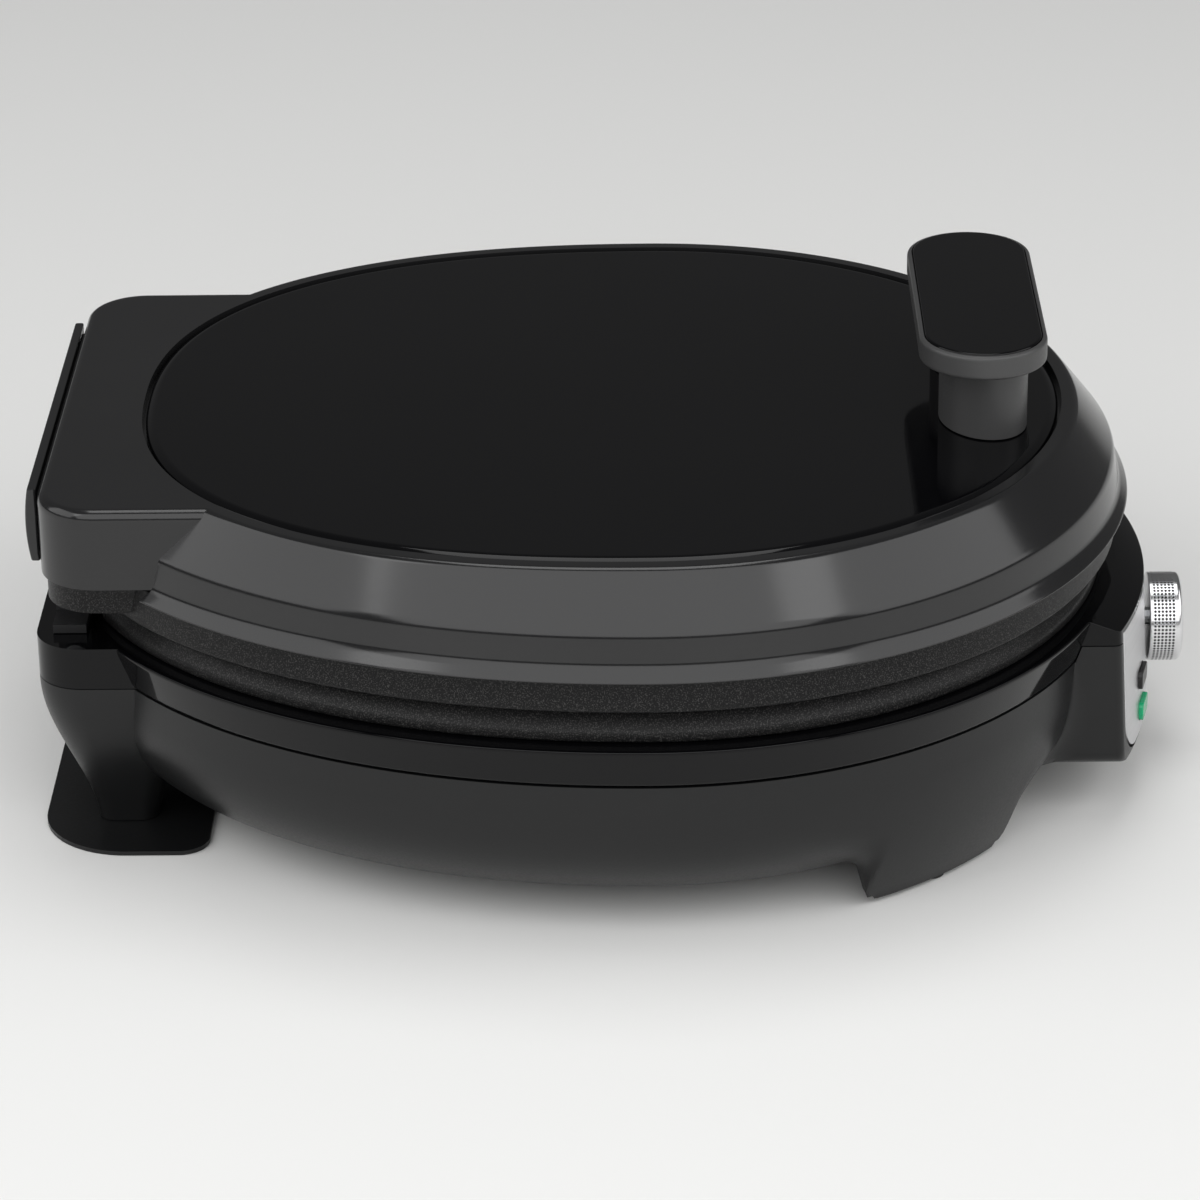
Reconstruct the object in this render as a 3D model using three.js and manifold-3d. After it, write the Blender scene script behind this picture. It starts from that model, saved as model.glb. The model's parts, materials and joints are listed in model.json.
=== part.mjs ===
// Electric pizza maker: a round countertop cooker with a hinged lid, shown closed.
// Millimetres. +Z is up, -Y is the front with the handle and the knob, +Y is the hinge side.
// Every piece is drawn about the centre of the body's front half circle, on the ground plane.
// The whole group is then shifted along Y so that its bounding box is centred on the origin.

import * as THREE from 'three';
import { mergeVertices } from 'three/addons/utils/BufferGeometryUtils.js';
import Module from 'manifold-3d';

const wasm = await Module();
wasm.setup();

// Plan outline: a half circle in front, a longer and squarer half behind
const bodyRadius = 137.3;
const discRearReach = 168.6;
const rimRearReach = 179.2;
const panRearReach = 158;
const discSquareness = 2.34;
const rimSquareness = 2.05;
const panSquareness = 2.2;
const planSegments = 56;

// Clearances and cuts
const seatGap = 0.3;
const runningGap = 0.6;
const overrun = 2;
const weldDistance = 0.0001;

// Heights of the stack, from the ground up
const bowlClearance = 8;
const bowlHeight = 52.4;
const trimHeight = 14.6;
const lidLift = 24.9;
const edgeDrop = 4.4;
const sideDrop = 10.7;
const shoulderDrop = 17;

// Lid widths outside the body radius
const discBevel = 2.5;
const grooveWidth = 1.2;
const lipWidth = 4.9;
const shoulderWidth = 13.4;
const sideFlare = 1.8;
const edgeFlare = 3.8;

// Lid housing
const housingWall = 2.5;
const discThickness = 4;
const discBevelDrop = 1.2;
const deckThickness = 2.5;
const lidBlockHalfWidth = 99;
const lidBlockRear = 200.5;
const lidBlockCorner = 20;
const lidBlockBevel = 2;
const bossRadius = 6;
const blockFront = 60;

// Lid rear cover
const coverHalfWidth = 75;
const coverGap = 1;
const coverThickness = 3;
const coverBulge = 1.2;
const coverTopInset = 2;
const coverRibWidth = 6;
const coverRibInset = 9;

// Handle
const handleLength = 119.5;
const handleWidth = 42.5;
const handleInset = 25.8;
const handleLift = 27;
const handleThickness = 8.4;
const handleBevel = 1.6;
const inlayInset = 2.3;
const inlayDepth = 2;
const inlayRise = 0.5;
const postHalfLength = 19.2;
const postHalfWidth = 14.2;
const postSpread = 27.4;
const postInset = 24.7;
const postTurnDegrees = 16;

// Plates
const plateRear = 184;
const plateNotchHalfWidth = 68;
const plateThickness = 3;
const upperRidgeOffset = 23.4;
const upperRidgeRise = 13.4;
const upperWallTaper = 2;
const upperWallRise = 13;
const upperRimOffset = 14;
const upperRecessOffset = 9.6;
const upperRecessDepth = 9;
const upperBackOffset = 18;
const lobeHalfWidth = 88;
const lobeRear = 200;
const lobeCorner = 18;
const lobeRise = 5;
const lowerFlangeOffset = 18.4;
const lowerFlangeHeight = 3.4;
const lowerRimOffset = 13;
const lowerRimRise = 10.7;
const lowerRecessOffset = 9.5;
const lowerRecessDepth = 14.7;
const lowerPanOffset = 10.5;
const lowerPanTaper = 6;
const recessSlope = 3.5;
const plateBossRadius = 5;

// Heating elements, clamps, shields
const elementDiameter = 6.5;
const elementInset = 38;
const elementTail = 16;
const elementGapDegrees = 9;
const elementSteps = 52;
const elementSides = 8;
const clampWidth = 9;
const clampFoot = 7;
const clampThickness = 1.2;
const shieldThickness = 1;
const shieldInset = 4;
const shieldSpace = 4.2;

// Base trim ring
const trimTopOffset = 24.9;
const bowlOffset = 20.3;
const trimWall = 2.5;
const panClearance = 1;
const baseBlockHalfWidth = 82;
const baseBlockRear = 205.4;
const baseBlockCorner = 16;

// Control panel and its housing
const panelProud = 10.1;
const panelLean = 1.3;
const housingHalfWidth = 67;
const housingClearance = 20.3;
const panelHalfWidth = 63.6;
const panelFootRise = 1.7;
const panelCorner = 12;
const panelThickness = 1.2;
const panelCurveSteps = 8;
const panelTrimHeight = 9;
const crescentFall = 4;
const crescentEdge = 2;
const wireOpeningHalfWidth = 48;

// Bowl and legs
const bowlWall = 2.5;
const bowlRounding = 30;
const bowlArcSteps = 4;
const blockFloorDrop = 11;
const legFootOffset = 7.7;
const legFootThickness = 12;
const legFootStartDegrees = 37.5;
const legFootEndDegrees = 58.5;
const legAnkleRise = 4.5;
const legAnkleStartDegrees = 35.3;
const legAnkleEndDegrees = 60.6;
const legShankRise = 20;
const legShankStartDegrees = 34;
const legShankEndDegrees = 62.5;
const legTopRise = 38;
const legTopOffset = 19.2;
const legTopThickness = 26;
const legTopStartDegrees = 22;
const legTopEndDegrees = 68;
const legShankShare = 0.5;
const footPadThickness = 1.5;
const footPadRadius = 4.5;
const rearLegTopWidth = 34;
const rearLegTopDepth = 30;
const rearLegTopSideInset = 19;
const rearLegTopRearInset = 16.4;
const rearLegFootWidth = 22;
const rearLegFootDepth = 20;
const rearLegFootSideInset = 33.5;
const rearLegFootRearInset = 28.4;
const rearLegCorner = 6;
const rearLegKneeRise = 22;
const rearLegKneeShare = 0.24;

// Cord wrap plate under the rear legs
const wrapPlateThickness = 1.5;
const wrapPlateHalfWidth = 86.5;
const wrapPlateRear = 207.4;
const wrapPlateFront = 150;
const wrapPlateCorner = 30;
const wrapPlateFrontCorner = 10;

// Knob, thermostat and lamps
const knobRise = 45.8;
const knobRadius = 15.5;
const knobLength = 12.4;
const knobStandOff = 1.1;
const knobChamfer = 1.8;
const knobDome = 0.8;
const knobBaseBand = 2;
const knurlDepth = 0.5;
const knurlRows = 6;
const knurlCount = 24;
const shaftRadius = 3;
const shaftBite = 8;
const thermostatRadius = 15;
const thermostatLength = 16;
const bushingRadius = 4.5;
const bushingLength = 8;
const bracketHalfWidth = 24;
const bracketHeight = 30;
const bracketThickness = 1.5;
const lensWidth = 12;
const lensHeight = 6.5;
const lensCorner = 2;
const lensRise = 1.2;
const lensOffset = 39;
const powerLensRise = 41.7;
const readyLensRise = 30;
const lampRadius = 2.5;
const lampLength = 12;
const holderHalfWidth = 9;
const holderHeight = 22;
const holderThickness = 2;

// Hinge
const pivotY = 194;
const pivotRise = 88;
const pinRadius = 2.5;
const pinHeadRadius = 4;
const pinHeadLength = 1.5;
const armWidth = 8;
const armRadius = 5.6;
const armX = 47;
const armFlangeLength = 24;
const armFlangeThickness = 3;
const bracketWidth = 6;
const bracketFootLength = 14;
const bracketFootThickness = 3;

// Wiring parts in the bowl
const terminalLength = 44;
const terminalWidth = 16;
const terminalHeight = 13;
const terminalSlots = 4;
const terminalSlotWidth = 6;
const terminalSlotDepth = 6;
const terminalY = 95;
const fuseRadius = 3.4;
const fuseLength = 26;
const fuseY = 60;
const fuseClipLength = 8;
const fuseClipThickness = 1;
const glandRadius = 6.5;
const glandFlange = 2;
const glandRise = 42.5;
const glandBoreRadius = 3.2;
const glandLength = 9;

// Screws
const screwRadius = 2;
const screwHeadRadius = 3.6;
const screwHeadHeight = 2.2;
const bossInset = 12.9;
const bossTurnDegrees = 42.2;
const bossSpreadRear = 84;

// Levels worked out from the heights
const partingLevel = bowlClearance + bowlHeight;
const trimTop = partingLevel + trimHeight;
const lidEdgeLevel = trimTop + lidLift;
const ridgeLevel = lidEdgeLevel + edgeDrop;
const coneLevel = ridgeLevel + sideDrop;
const lidTop = coneLevel + shoulderDrop;
const deckTop = lidTop - discThickness - seatGap;
const deckUnderside = deckTop - deckThickness;
const lowerRimLevel = trimTop + lowerRimRise;
const upperRimLevel = lowerRimLevel + seatGap;
const upperRidgeLevel = trimTop + upperRidgeRise;
const cookTop = upperRimLevel + upperRecessDepth;
const upperBack = cookTop + plateThickness;
const cookFloor = lowerRimLevel - lowerRecessDepth;
const lowerBack = cookFloor - plateThickness;
const upperElementLevel = upperBack + seatGap + elementDiameter / 2;
const lowerElementLevel = lowerBack - seatGap - elementDiameter / 2;
const upperShieldLevel = upperElementLevel + elementDiameter / 2 + shieldSpace;
const lowerShieldLevel = lowerElementLevel - elementDiameter / 2 - shieldSpace;
const bowlFloor = bowlClearance + bowlWall;
const bowlRear = rimRearReach + bowlOffset;
const panelRadius = bodyRadius + trimTopOffset + panelProud;
const coverRibSpacing = coverHalfWidth - coverRibInset;
const rearLegTopX = baseBlockHalfWidth - rearLegTopSideInset;
const rearLegTopY = baseBlockRear - rearLegTopRearInset;
const rearLegFootX = wrapPlateHalfWidth - rearLegFootSideInset;
const rearLegFootY = wrapPlateRear - rearLegFootRearInset;
const handleCentre = bodyRadius - handleInset;
const postCentre = bodyRadius - postInset;
const bossCircle = bodyRadius - elementInset - bossInset;
const bossTurn = THREE.MathUtils.degToRad(bossTurnDegrees);
const bossSpreadX = bossCircle * Math.sin(bossTurn);
const bossSpreadFront = bossCircle * Math.cos(bossTurn);
const legFootRadius = bodyRadius + legFootOffset;
const legTopRadius = bodyRadius + legTopOffset;
const panelTop = trimTop - crescentFall - crescentEdge;
const panelFoot = housingClearance + panelFootRise;
const panelTrimLevel = trimTop - panelTrimHeight;

// Offsets of the lid's outline, worked out from its widths
const lipInner = discBevel + grooveWidth;
const lipOuter = lipInner + lipWidth;
const coneOffset = lipOuter + shoulderWidth;
const ridgeOffset = coneOffset + sideFlare;
const edgeOffset = ridgeOffset + edgeFlare;

// Plan families
const discPlan = { reach: discRearReach, squareness: discSquareness };
const rimPlan = { reach: rimRearReach, squareness: rimSquareness };
const panPlan = { reach: panRearReach, squareness: panSquareness };

const group = new THREE.Group();

// Finishes
const finishes = {
  glossBlack: { color: 0x0b0b0c, roughness: 0.12, metalness: 0 },
  satinBlack: { color: 0x121214, roughness: 0.34, metalness: 0 },
  matteBlack: { color: 0x191a1b, roughness: 0.7, metalness: 0 },
  softGrey: { color: 0x232426, roughness: 0.6, metalness: 0 },
  speckled: { color: 0x2b2b2c, roughness: 0.55, metalness: 0.1 },
  brushedSilver: { color: 0xb9babc, roughness: 0.35, metalness: 1 },
  chrome: { color: 0xd8d9db, roughness: 0.12, metalness: 1 },
  steel: { color: 0x9a9c9f, roughness: 0.4, metalness: 1 },
  blackSteel: { color: 0x1b1b1c, roughness: 0.5, metalness: 0.6 },
  aluminium: { color: 0xaeb0b2, roughness: 0.45, metalness: 1 },
  darkLens: { color: 0x2a1414, roughness: 0.15, metalness: 0 },
  greenLens: { color: 0x2f7d3a, roughness: 0.15, metalness: 0 },
  glass: { color: 0xd9c9a8, roughness: 0.1, metalness: 0 },
  ceramicWhite: { color: 0xd9d6cd, roughness: 0.5, metalness: 0 },
  rubber: { color: 0x161616, roughness: 0.85, metalness: 0 },
};

function addPiece(name, shape, finish) {
  const geometry = shape instanceof THREE.BufferGeometry ? shape : geometryOf(shape);
  const mesh = new THREE.Mesh(geometry, new THREE.MeshStandardMaterial(finishes[finish]));
  mesh.name = name;
  group.add(mesh);
}

// One named piece for each copy, with its place at the end of the name
function addCopies(name, places, shapes, finish) {
  shapes.forEach((shape, i) => addPiece(`${name}_${places[i]}`, shape, finish));
}

// Solids and joins
function solidOf(geometry) {
  const bare = geometry.clone();
  bare.deleteAttribute('normal');
  bare.deleteAttribute('uv');
  const merged = mergeVertices(bare, weldDistance);
  const vertProperties = Float32Array.from(merged.attributes.position.array);
  const triVerts = Uint32Array.from(merged.index.array);
  return new wasm.Manifold(new wasm.Mesh({ numProp: 3, vertProperties, triVerts }));
}

function geometryOf(solid) {
  const mesh = solid.getMesh();
  const geometry = new THREE.BufferGeometry();
  geometry.setAttribute('position', new THREE.BufferAttribute(mesh.vertProperties, 3));
  geometry.setIndex(new THREE.BufferAttribute(mesh.triVerts, 1));
  geometry.computeVertexNormals();
  return geometry;
}

function join(solids) {
  return solids.reduce((whole, piece) => whole.add(piece));
}

function cut(solid, tools) {
  return tools.reduce((rest, tool) => rest.subtract(tool), solid);
}

// Ring of the body's plan, a given distance outside the body radius
function planRing(plan, offset, level) {
  const side = bodyRadius + offset;
  const rear = plan.reach + offset;
  const ring = [];
  for (let i = 0; i < planSegments; i += 1) {
    const angle = (2 * Math.PI * i) / planSegments;
    const across = Math.cos(angle);
    const along = Math.sin(angle);
    if (along < 0) {
      ring.push(new THREE.Vector3(side * across, side * along, level));
    } else {
      const power = 2 / plan.squareness;
      const x = side * Math.sign(across) * Math.abs(across) ** power;
      ring.push(new THREE.Vector3(x, rear * along ** power, level));
    }
  }
  return ring;
}

// Ring of a flat outline at a level
function outlineRing(outline, level, curveSteps) {
  return outline.extractPoints(curveSteps).shape.map((p) => new THREE.Vector3(p.x, p.y, level));
}

// Closed body through rings of equal count, from the lowest to the highest
function loft(rings) {
  const count = rings[0].length;
  const positions = rings.flat().flatMap((p) => [p.x, p.y, p.z]);
  const index = [];
  for (let level = 0; level < rings.length - 1; level += 1) {
    for (let i = 0; i < count; i += 1) {
      const a = level * count + i;
      const b = level * count + ((i + 1) % count);
      index.push(a, b, b + count, a, b + count, a + count);
    }
  }
  const flat = (ring) => ring.map((p) => new THREE.Vector2(p.x, p.y));
  const top = (rings.length - 1) * count;
  for (const [a, b, c] of THREE.ShapeUtils.triangulateShape(flat(rings[0]), [])) {
    index.push(a, c, b);
  }
  for (const [a, b, c] of THREE.ShapeUtils.triangulateShape(flat(rings[rings.length - 1]), [])) {
    index.push(top + a, top + b, top + c);
  }
  const geometry = new THREE.BufferGeometry();
  geometry.setAttribute('position', new THREE.Float32BufferAttribute(positions, 3));
  geometry.setIndex(index);
  return solidOf(geometry);
}

function planLoft(rows) {
  return loft(rows.map(([plan, offset, level]) => planRing(plan, offset, level)));
}

// Box from its centre in X and its limits in Y and Z
function slab(centreX, width, fromY, toY, fromZ, toZ) {
  const box = new THREE.BoxGeometry(width, toY - fromY, toZ - fromZ);
  box.translate(centreX, (fromY + toY) / 2, (fromZ + toZ) / 2);
  return solidOf(box);
}

// Turned body about the Z axis: points are [radius, height], from the axis up and back to it
function turned(points, segments) {
  const profile = points.map(([radius, height]) => new THREE.Vector2(radius, height));
  const lathe = new THREE.LatheGeometry(profile, segments);
  lathe.rotateX(Math.PI / 2);
  return solidOf(lathe);
}

function cylinder(radius, fromZ, toZ, segments = 16) {
  return turned([[0, fromZ], [radius, fromZ], [radius, toZ], [0, toZ]], segments);
}

// Turns a body that was drawn along +Z so that it points to the front or along X
function towardFront(solid) {
  return solid.rotate([90, 0, 0]);
}

function alongX(solid) {
  return solid.rotate([0, 90, 0]);
}

function prism(outline, fromZ, toZ, curveSteps = 8) {
  const body = new THREE.ExtrudeGeometry(outline, {
    depth: toZ - fromZ, bevelEnabled: false, curveSegments: curveSteps,
  });
  body.translate(0, 0, fromZ);
  return solidOf(body);
}

// Outlines
function blockOutline(halfWidth, front, rear, corner) {
  const outline = new THREE.Shape();
  outline.moveTo(-halfWidth, front);
  outline.lineTo(halfWidth, front);
  outline.lineTo(halfWidth, rear - corner);
  outline.absarc(halfWidth - corner, rear - corner, corner, 0, Math.PI / 2, false);
  outline.lineTo(corner - halfWidth, rear);
  outline.absarc(corner - halfWidth, rear - corner, corner, Math.PI / 2, Math.PI, false);
  outline.closePath();
  return outline;
}

function roundedOutline(width, depth, corner, centreX = 0, centreY = 0) {
  const right = centreX + width / 2 - corner;
  const left = centreX - width / 2 + corner;
  const rear = centreY + depth / 2 - corner;
  const front = centreY - depth / 2 + corner;
  const outline = new THREE.Shape();
  outline.absarc(right, front, corner, -Math.PI / 2, 0, false);
  outline.absarc(right, rear, corner, 0, Math.PI / 2, false);
  outline.absarc(left, rear, corner, Math.PI / 2, Math.PI, false);
  outline.absarc(left, front, corner, Math.PI, (3 * Math.PI) / 2, false);
  outline.closePath();
  return outline;
}

function panelOutline(halfWidth, radius, back) {
  const spread = Math.asin(halfWidth / radius);
  const outline = new THREE.Shape();
  outline.moveTo(halfWidth, -back);
  outline.lineTo(-halfWidth, -back);
  outline.absarc(0, 0, radius, -Math.PI / 2 - spread, -Math.PI / 2 + spread, false);
  outline.closePath();
  return outline;
}

// The panel's front leans out toward its foot, so its radius depends on the level
function panelRadiusAt(level) {
  return panelRadius + (panelLean * (knobRise - level)) / (knobRise - housingClearance);
}

// Body behind the panel's leaning front, set back from it
function leaningBody(halfWidth, setBack, back, fromZ, toZ) {
  const rings = [fromZ, toZ].map((level) => outlineRing(
    panelOutline(halfWidth, panelRadiusAt(level) - setBack, back), level, panelCurveSteps,
  ));
  return loft(rings);
}

// Front view of the panel, rounded at its foot, as a body that runs through its front
function panelFace(grow, top) {
  const half = panelHalfWidth + grow;
  const corner = panelCorner + grow;
  const bend = panelFoot - grow + corner;
  const outline = new THREE.Shape();
  outline.moveTo(half, top);
  outline.lineTo(-half, top);
  outline.lineTo(-half, bend);
  outline.absarc(corner - half, bend, corner, Math.PI, (3 * Math.PI) / 2, false);
  outline.absarc(half - corner, bend, corner, (3 * Math.PI) / 2, 2 * Math.PI, false);
  outline.closePath();
  return towardFront(prism(outline, blockFront, panelRadius + panelLean + overrun));
}

// Layer behind the panel's front, to a depth, inside the panel's front view
function panelLayer(grow, depth, top) {
  const wide = panelHalfWidth + grow + overrun;
  const foot = panelFoot - grow - overrun;
  const front = leaningBody(wide, -grow, bodyRadius, foot, top);
  const back = leaningBody(wide + overrun, depth, blockFront, foot - overrun, top + overrun);
  return cut(front, [back]).intersect(panelFace(grow, top + overrun));
}

// Places of the four screws that hold each plate
const bossPlaces = [
  [-bossSpreadX, -bossSpreadFront],
  [bossSpreadX, -bossSpreadFront],
  [-bossSpreadX, bossSpreadRear],
  [bossSpreadX, bossSpreadRear],
];

function atBosses(solid) {
  return bossPlaces.map(([x, y]) => solid.translate([x, y, 0]));
}

function mirrored(solid) {
  return [solid, solid.mirror([1, 0, 0])];
}

// Lid housing: sloped shoulder, squared rear block, deck under the disc
function lidHousing() {
  const shell = planLoft([
    [rimPlan, edgeOffset, lidEdgeLevel],
    [rimPlan, ridgeOffset, ridgeLevel],
    [rimPlan, coneOffset, coneLevel],
    [discPlan, lipOuter, lidTop],
  ]);
  const blockTop = lidTop - lidBlockBevel;
  const blockInset = lidBlockBevel;
  const block = loft([
    outlineRing(blockOutline(lidBlockHalfWidth, blockFront, lidBlockRear, lidBlockCorner), ridgeLevel, 6),
    outlineRing(blockOutline(lidBlockHalfWidth, blockFront, lidBlockRear, lidBlockCorner), blockTop, 6),
    outlineRing(blockOutline(
      lidBlockHalfWidth - blockInset, blockFront, lidBlockRear - blockInset, lidBlockCorner - blockInset,
    ), lidTop, 6),
  ]);
  const flareCut = slab(
    0, 2 * lidBlockHalfWidth, blockFront, lidBlockRear + bodyRadius, lidEdgeLevel - overrun, ridgeLevel,
  );
  const rearCut = slab(
    0, 2 * lidBlockHalfWidth, lidBlockRear, lidBlockRear + bodyRadius, ridgeLevel - overrun, lidTop + overrun,
  );
  const innerEdge = edgeOffset - housingWall;
  const cavity = planLoft([
    [rimPlan, innerEdge + sideFlare, lidEdgeLevel - overrun],
    [rimPlan, ridgeOffset - housingWall, ridgeLevel],
    [rimPlan, coneOffset - housingWall, coneLevel - housingWall],
    [discPlan, lipOuter - housingWall, deckUnderside],
  ]);
  const rearWallInner = lidBlockRear - housingWall;
  const rearCavityCut = slab(
    0, 2 * bodyRadius, rearWallInner, lidBlockRear + bodyRadius, lidEdgeLevel - overrun, lidTop,
  );
  const blockCavity = prism(blockOutline(
    lidBlockHalfWidth - housingWall, blockFront, rearWallInner, lidBlockCorner - housingWall,
  ), ridgeLevel - overrun, deckUnderside, 6);
  const recess = planLoft([
    [discPlan, lipInner, deckTop],
    [discPlan, lipInner, lidTop + overrun],
  ]);
  const outer = cut(join([shell, block]), [flareCut, rearCut]);
  const hollow = cut(outer, [cut(cavity, [rearCavityCut]), blockCavity, recess]);
  const bosses = atBosses(cylinder(bossRadius, upperShieldLevel + shieldThickness + seatGap, deckTop));
  const holes = atBosses(join([
    cylinder(screwRadius + seatGap, upperShieldLevel, lidTop),
    cylinder(screwHeadRadius + seatGap, deckTop - screwHeadHeight - seatGap, lidTop),
  ]));
  const handleHoles = handleScrewPlaces().map(([x, y]) => (
    cylinder(screwRadius + seatGap, deckUnderside - overrun, deckTop + overrun).translate([x, y, 0])
  ));
  return cut(join([hollow, ...bosses]), [...holes, ...handleHoles]);
}

function handleScrewPlaces() {
  return [[-postSpread, -postCentre], [postSpread, -postCentre]];
}

// Round glossy disc in the lid's top
function lidTopDisc() {
  const underside = deckTop + seatGap;
  const disc = planLoft([
    [discPlan, discBevel, underside],
    [discPlan, discBevel, lidTop - discBevelDrop],
    [discPlan, discBevel / 2, lidTop - discBevelDrop / 4],
    [discPlan, 0, lidTop],
  ]);
  const holes = handleScrewPlaces().map(([x, y]) => (
    cylinder(screwRadius + seatGap, underside - overrun, lidTop + overrun).translate([x, y, 0])
  ));
  return cut(disc, holes);
}

// Cover strip behind the lid's rear block, on ribs
function lidRearCover() {
  const front = lidBlockRear + coverGap;
  const rear = front + coverThickness;
  const top = lidTop - coverTopInset;
  const middle = (ridgeLevel + top) / 2;
  const profile = new THREE.Shape();
  profile.moveTo(front, ridgeLevel);
  profile.lineTo(rear, ridgeLevel);
  profile.quadraticCurveTo(rear + 2 * coverBulge, middle, rear, top);
  profile.lineTo(front, top);
  profile.closePath();
  const strip = uprightProfile(profile, 2 * coverHalfWidth);
  const ribs = [-coverRibSpacing, 0, coverRibSpacing].map((x) => slab(
    x, coverRibWidth, lidBlockRear + seatGap, front + coverThickness / 2,
    ridgeLevel + coverRibWidth, top - coverRibWidth,
  ));
  return join([strip, ...ribs]);
}

// Extrudes a profile drawn in (Y, Z) along X, centred on X zero
function uprightProfile(profile, width, curveSteps = 8) {
  const body = new THREE.ExtrudeGeometry(profile, {
    depth: width, bevelEnabled: false, curveSegments: curveSteps,
  });
  body.translate(0, 0, -width / 2);
  body.rotateY(Math.PI / 2);
  body.rotateX(Math.PI / 2);
  return solidOf(body);
}

// Handle: bar, inlay and the two oval posts
function stadium(inset) {
  return roundedOutline(
    handleLength - 2 * inset, handleWidth - 2 * inset, handleWidth / 2 - inset, 0, -handleCentre,
  );
}

function handleBar() {
  const bottom = lidTop + handleLift;
  const top = bottom + handleThickness;
  const bar = loft([
    outlineRing(stadium(handleBevel), bottom, 6),
    outlineRing(stadium(0), bottom + handleBevel, 6),
    outlineRing(stadium(0), top - handleBevel, 6),
    outlineRing(stadium(handleBevel), top, 6),
  ]);
  const pocket = prism(stadium(inlayInset), top - inlayDepth, top + overrun, 6);
  const pilots = handleScrewPlaces().map(([x, y]) => (
    cylinder(screwRadius + seatGap, bottom - overrun, bottom + handleThickness / 2).translate([x, y, 0])
  ));
  return cut(bar, [pocket, ...pilots]);
}

function handleInlay() {
  const top = lidTop + handleLift + handleThickness;
  const inset = inlayInset + seatGap;
  return loft([
    outlineRing(stadium(inset), top - inlayDepth + seatGap, 6),
    outlineRing(stadium(inset), top, 6),
    outlineRing(stadium(inset + inlayRise), top + inlayRise, 6),
  ]);
}

function handlePosts() {
  const bottom = lidTop + seatGap;
  const top = lidTop + handleLift - seatGap;
  const post = turned([[0, bottom], [1, bottom], [1, top], [0, top]], 32)
    .scale([postHalfLength, postHalfWidth, 1])
    .rotate([0, 0, postTurnDegrees])
    .translate([-postSpread, -postCentre, 0]);
  const hole = cylinder(screwRadius + seatGap, bottom - overrun, top + overrun)
    .translate([-postSpread, -postCentre, 0]);
  return mirrored(cut(post, [hole]));
}

function screw(fromZ, toZ) {
  return turned([
    [0, fromZ], [screwHeadRadius, fromZ], [screwHeadRadius, fromZ + screwHeadHeight],
    [screwRadius, fromZ + screwHeadHeight], [screwRadius, toZ], [0, toZ],
  ], 12);
}

function handleScrews() {
  const head = deckUnderside - seatGap - screwHeadHeight;
  const tip = lidTop + handleLift + handleThickness / 2 - seatGap;
  return handleScrewPlaces().map(([x, y]) => screw(head, tip).translate([x, y, 0]));
}

// Plates
function plateNotch(fromZ, toZ) {
  return slab(0, 2 * plateNotchHalfWidth, plateRear, plateRear + bodyRadius, fromZ, toZ);
}

function upperPlate() {
  const wallTop = upperRidgeLevel + upperWallRise;
  const wallOffset = upperRidgeOffset - upperWallTaper;
  const body = planLoft([
    [rimPlan, upperRimOffset, upperRimLevel],
    [rimPlan, upperRidgeOffset, upperRidgeLevel],
    [rimPlan, wallOffset, wallTop],
  ]);
  const lobes = cut(prism(
    blockOutline(lobeHalfWidth, blockFront, lobeRear, lobeCorner), upperRimLevel + lobeRise, wallTop, 6,
  ), [slab(0, 4 * bodyRadius, 0, blockFront + bodyRadius / 2, upperRimLevel, wallTop + overrun)]);
  const recess = planLoft([
    [panPlan, upperRecessOffset, upperRimLevel - overrun],
    [panPlan, upperRecessOffset, upperRimLevel],
    [panPlan, upperRecessOffset - recessSlope, cookTop],
  ]);
  const backRecess = planLoft([
    [panPlan, upperBackOffset, upperBack],
    [panPlan, upperBackOffset, wallTop + overrun],
  ]);
  const notch = plateNotch(upperRimLevel - overrun, wallTop + overrun);
  const shaped = cut(join([body, lobes]), [recess, backRecess, notch]);
  const bosses = atBosses(cylinder(plateBossRadius, upperBack - plateThickness / 2, upperShieldLevel - seatGap));
  const pilots = atBosses(cylinder(screwRadius + seatGap, upperBack, upperShieldLevel + overrun));
  return cut(join([shaped, ...bosses]), pilots);
}

function lowerPlate() {
  const flangeBottom = trimTop + seatGap;
  const flangeTop = flangeBottom + lowerFlangeHeight;
  const body = planLoft([
    [panPlan, lowerPanOffset - lowerPanTaper, lowerBack],
    [panPlan, lowerPanOffset, lowerBack + lowerPanTaper],
    [panPlan, lowerPanOffset, flangeBottom],
    [rimPlan, lowerFlangeOffset, flangeBottom],
    [rimPlan, lowerFlangeOffset, flangeTop],
    [rimPlan, lowerRimOffset, lowerRimLevel],
  ]);
  const recess = planLoft([
    [panPlan, lowerRecessOffset - recessSlope - plateThickness, cookFloor],
    [panPlan, lowerRecessOffset - recessSlope, cookFloor + recessSlope],
    [panPlan, lowerRecessOffset, lowerRimLevel],
    [panPlan, lowerRecessOffset, lowerRimLevel + overrun],
  ]);
  const notch = plateNotch(lowerBack - overrun, lowerRimLevel + overrun);
  const bosses = atBosses(cylinder(
    plateBossRadius, lowerShieldLevel + seatGap, lowerBack + plateThickness / 2,
  ));
  const pilots = atBosses(cylinder(screwRadius + seatGap, lowerShieldLevel - overrun, lowerBack));
  return cut(join([cut(body, [recess, notch]), ...bosses]), pilots);
}

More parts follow.
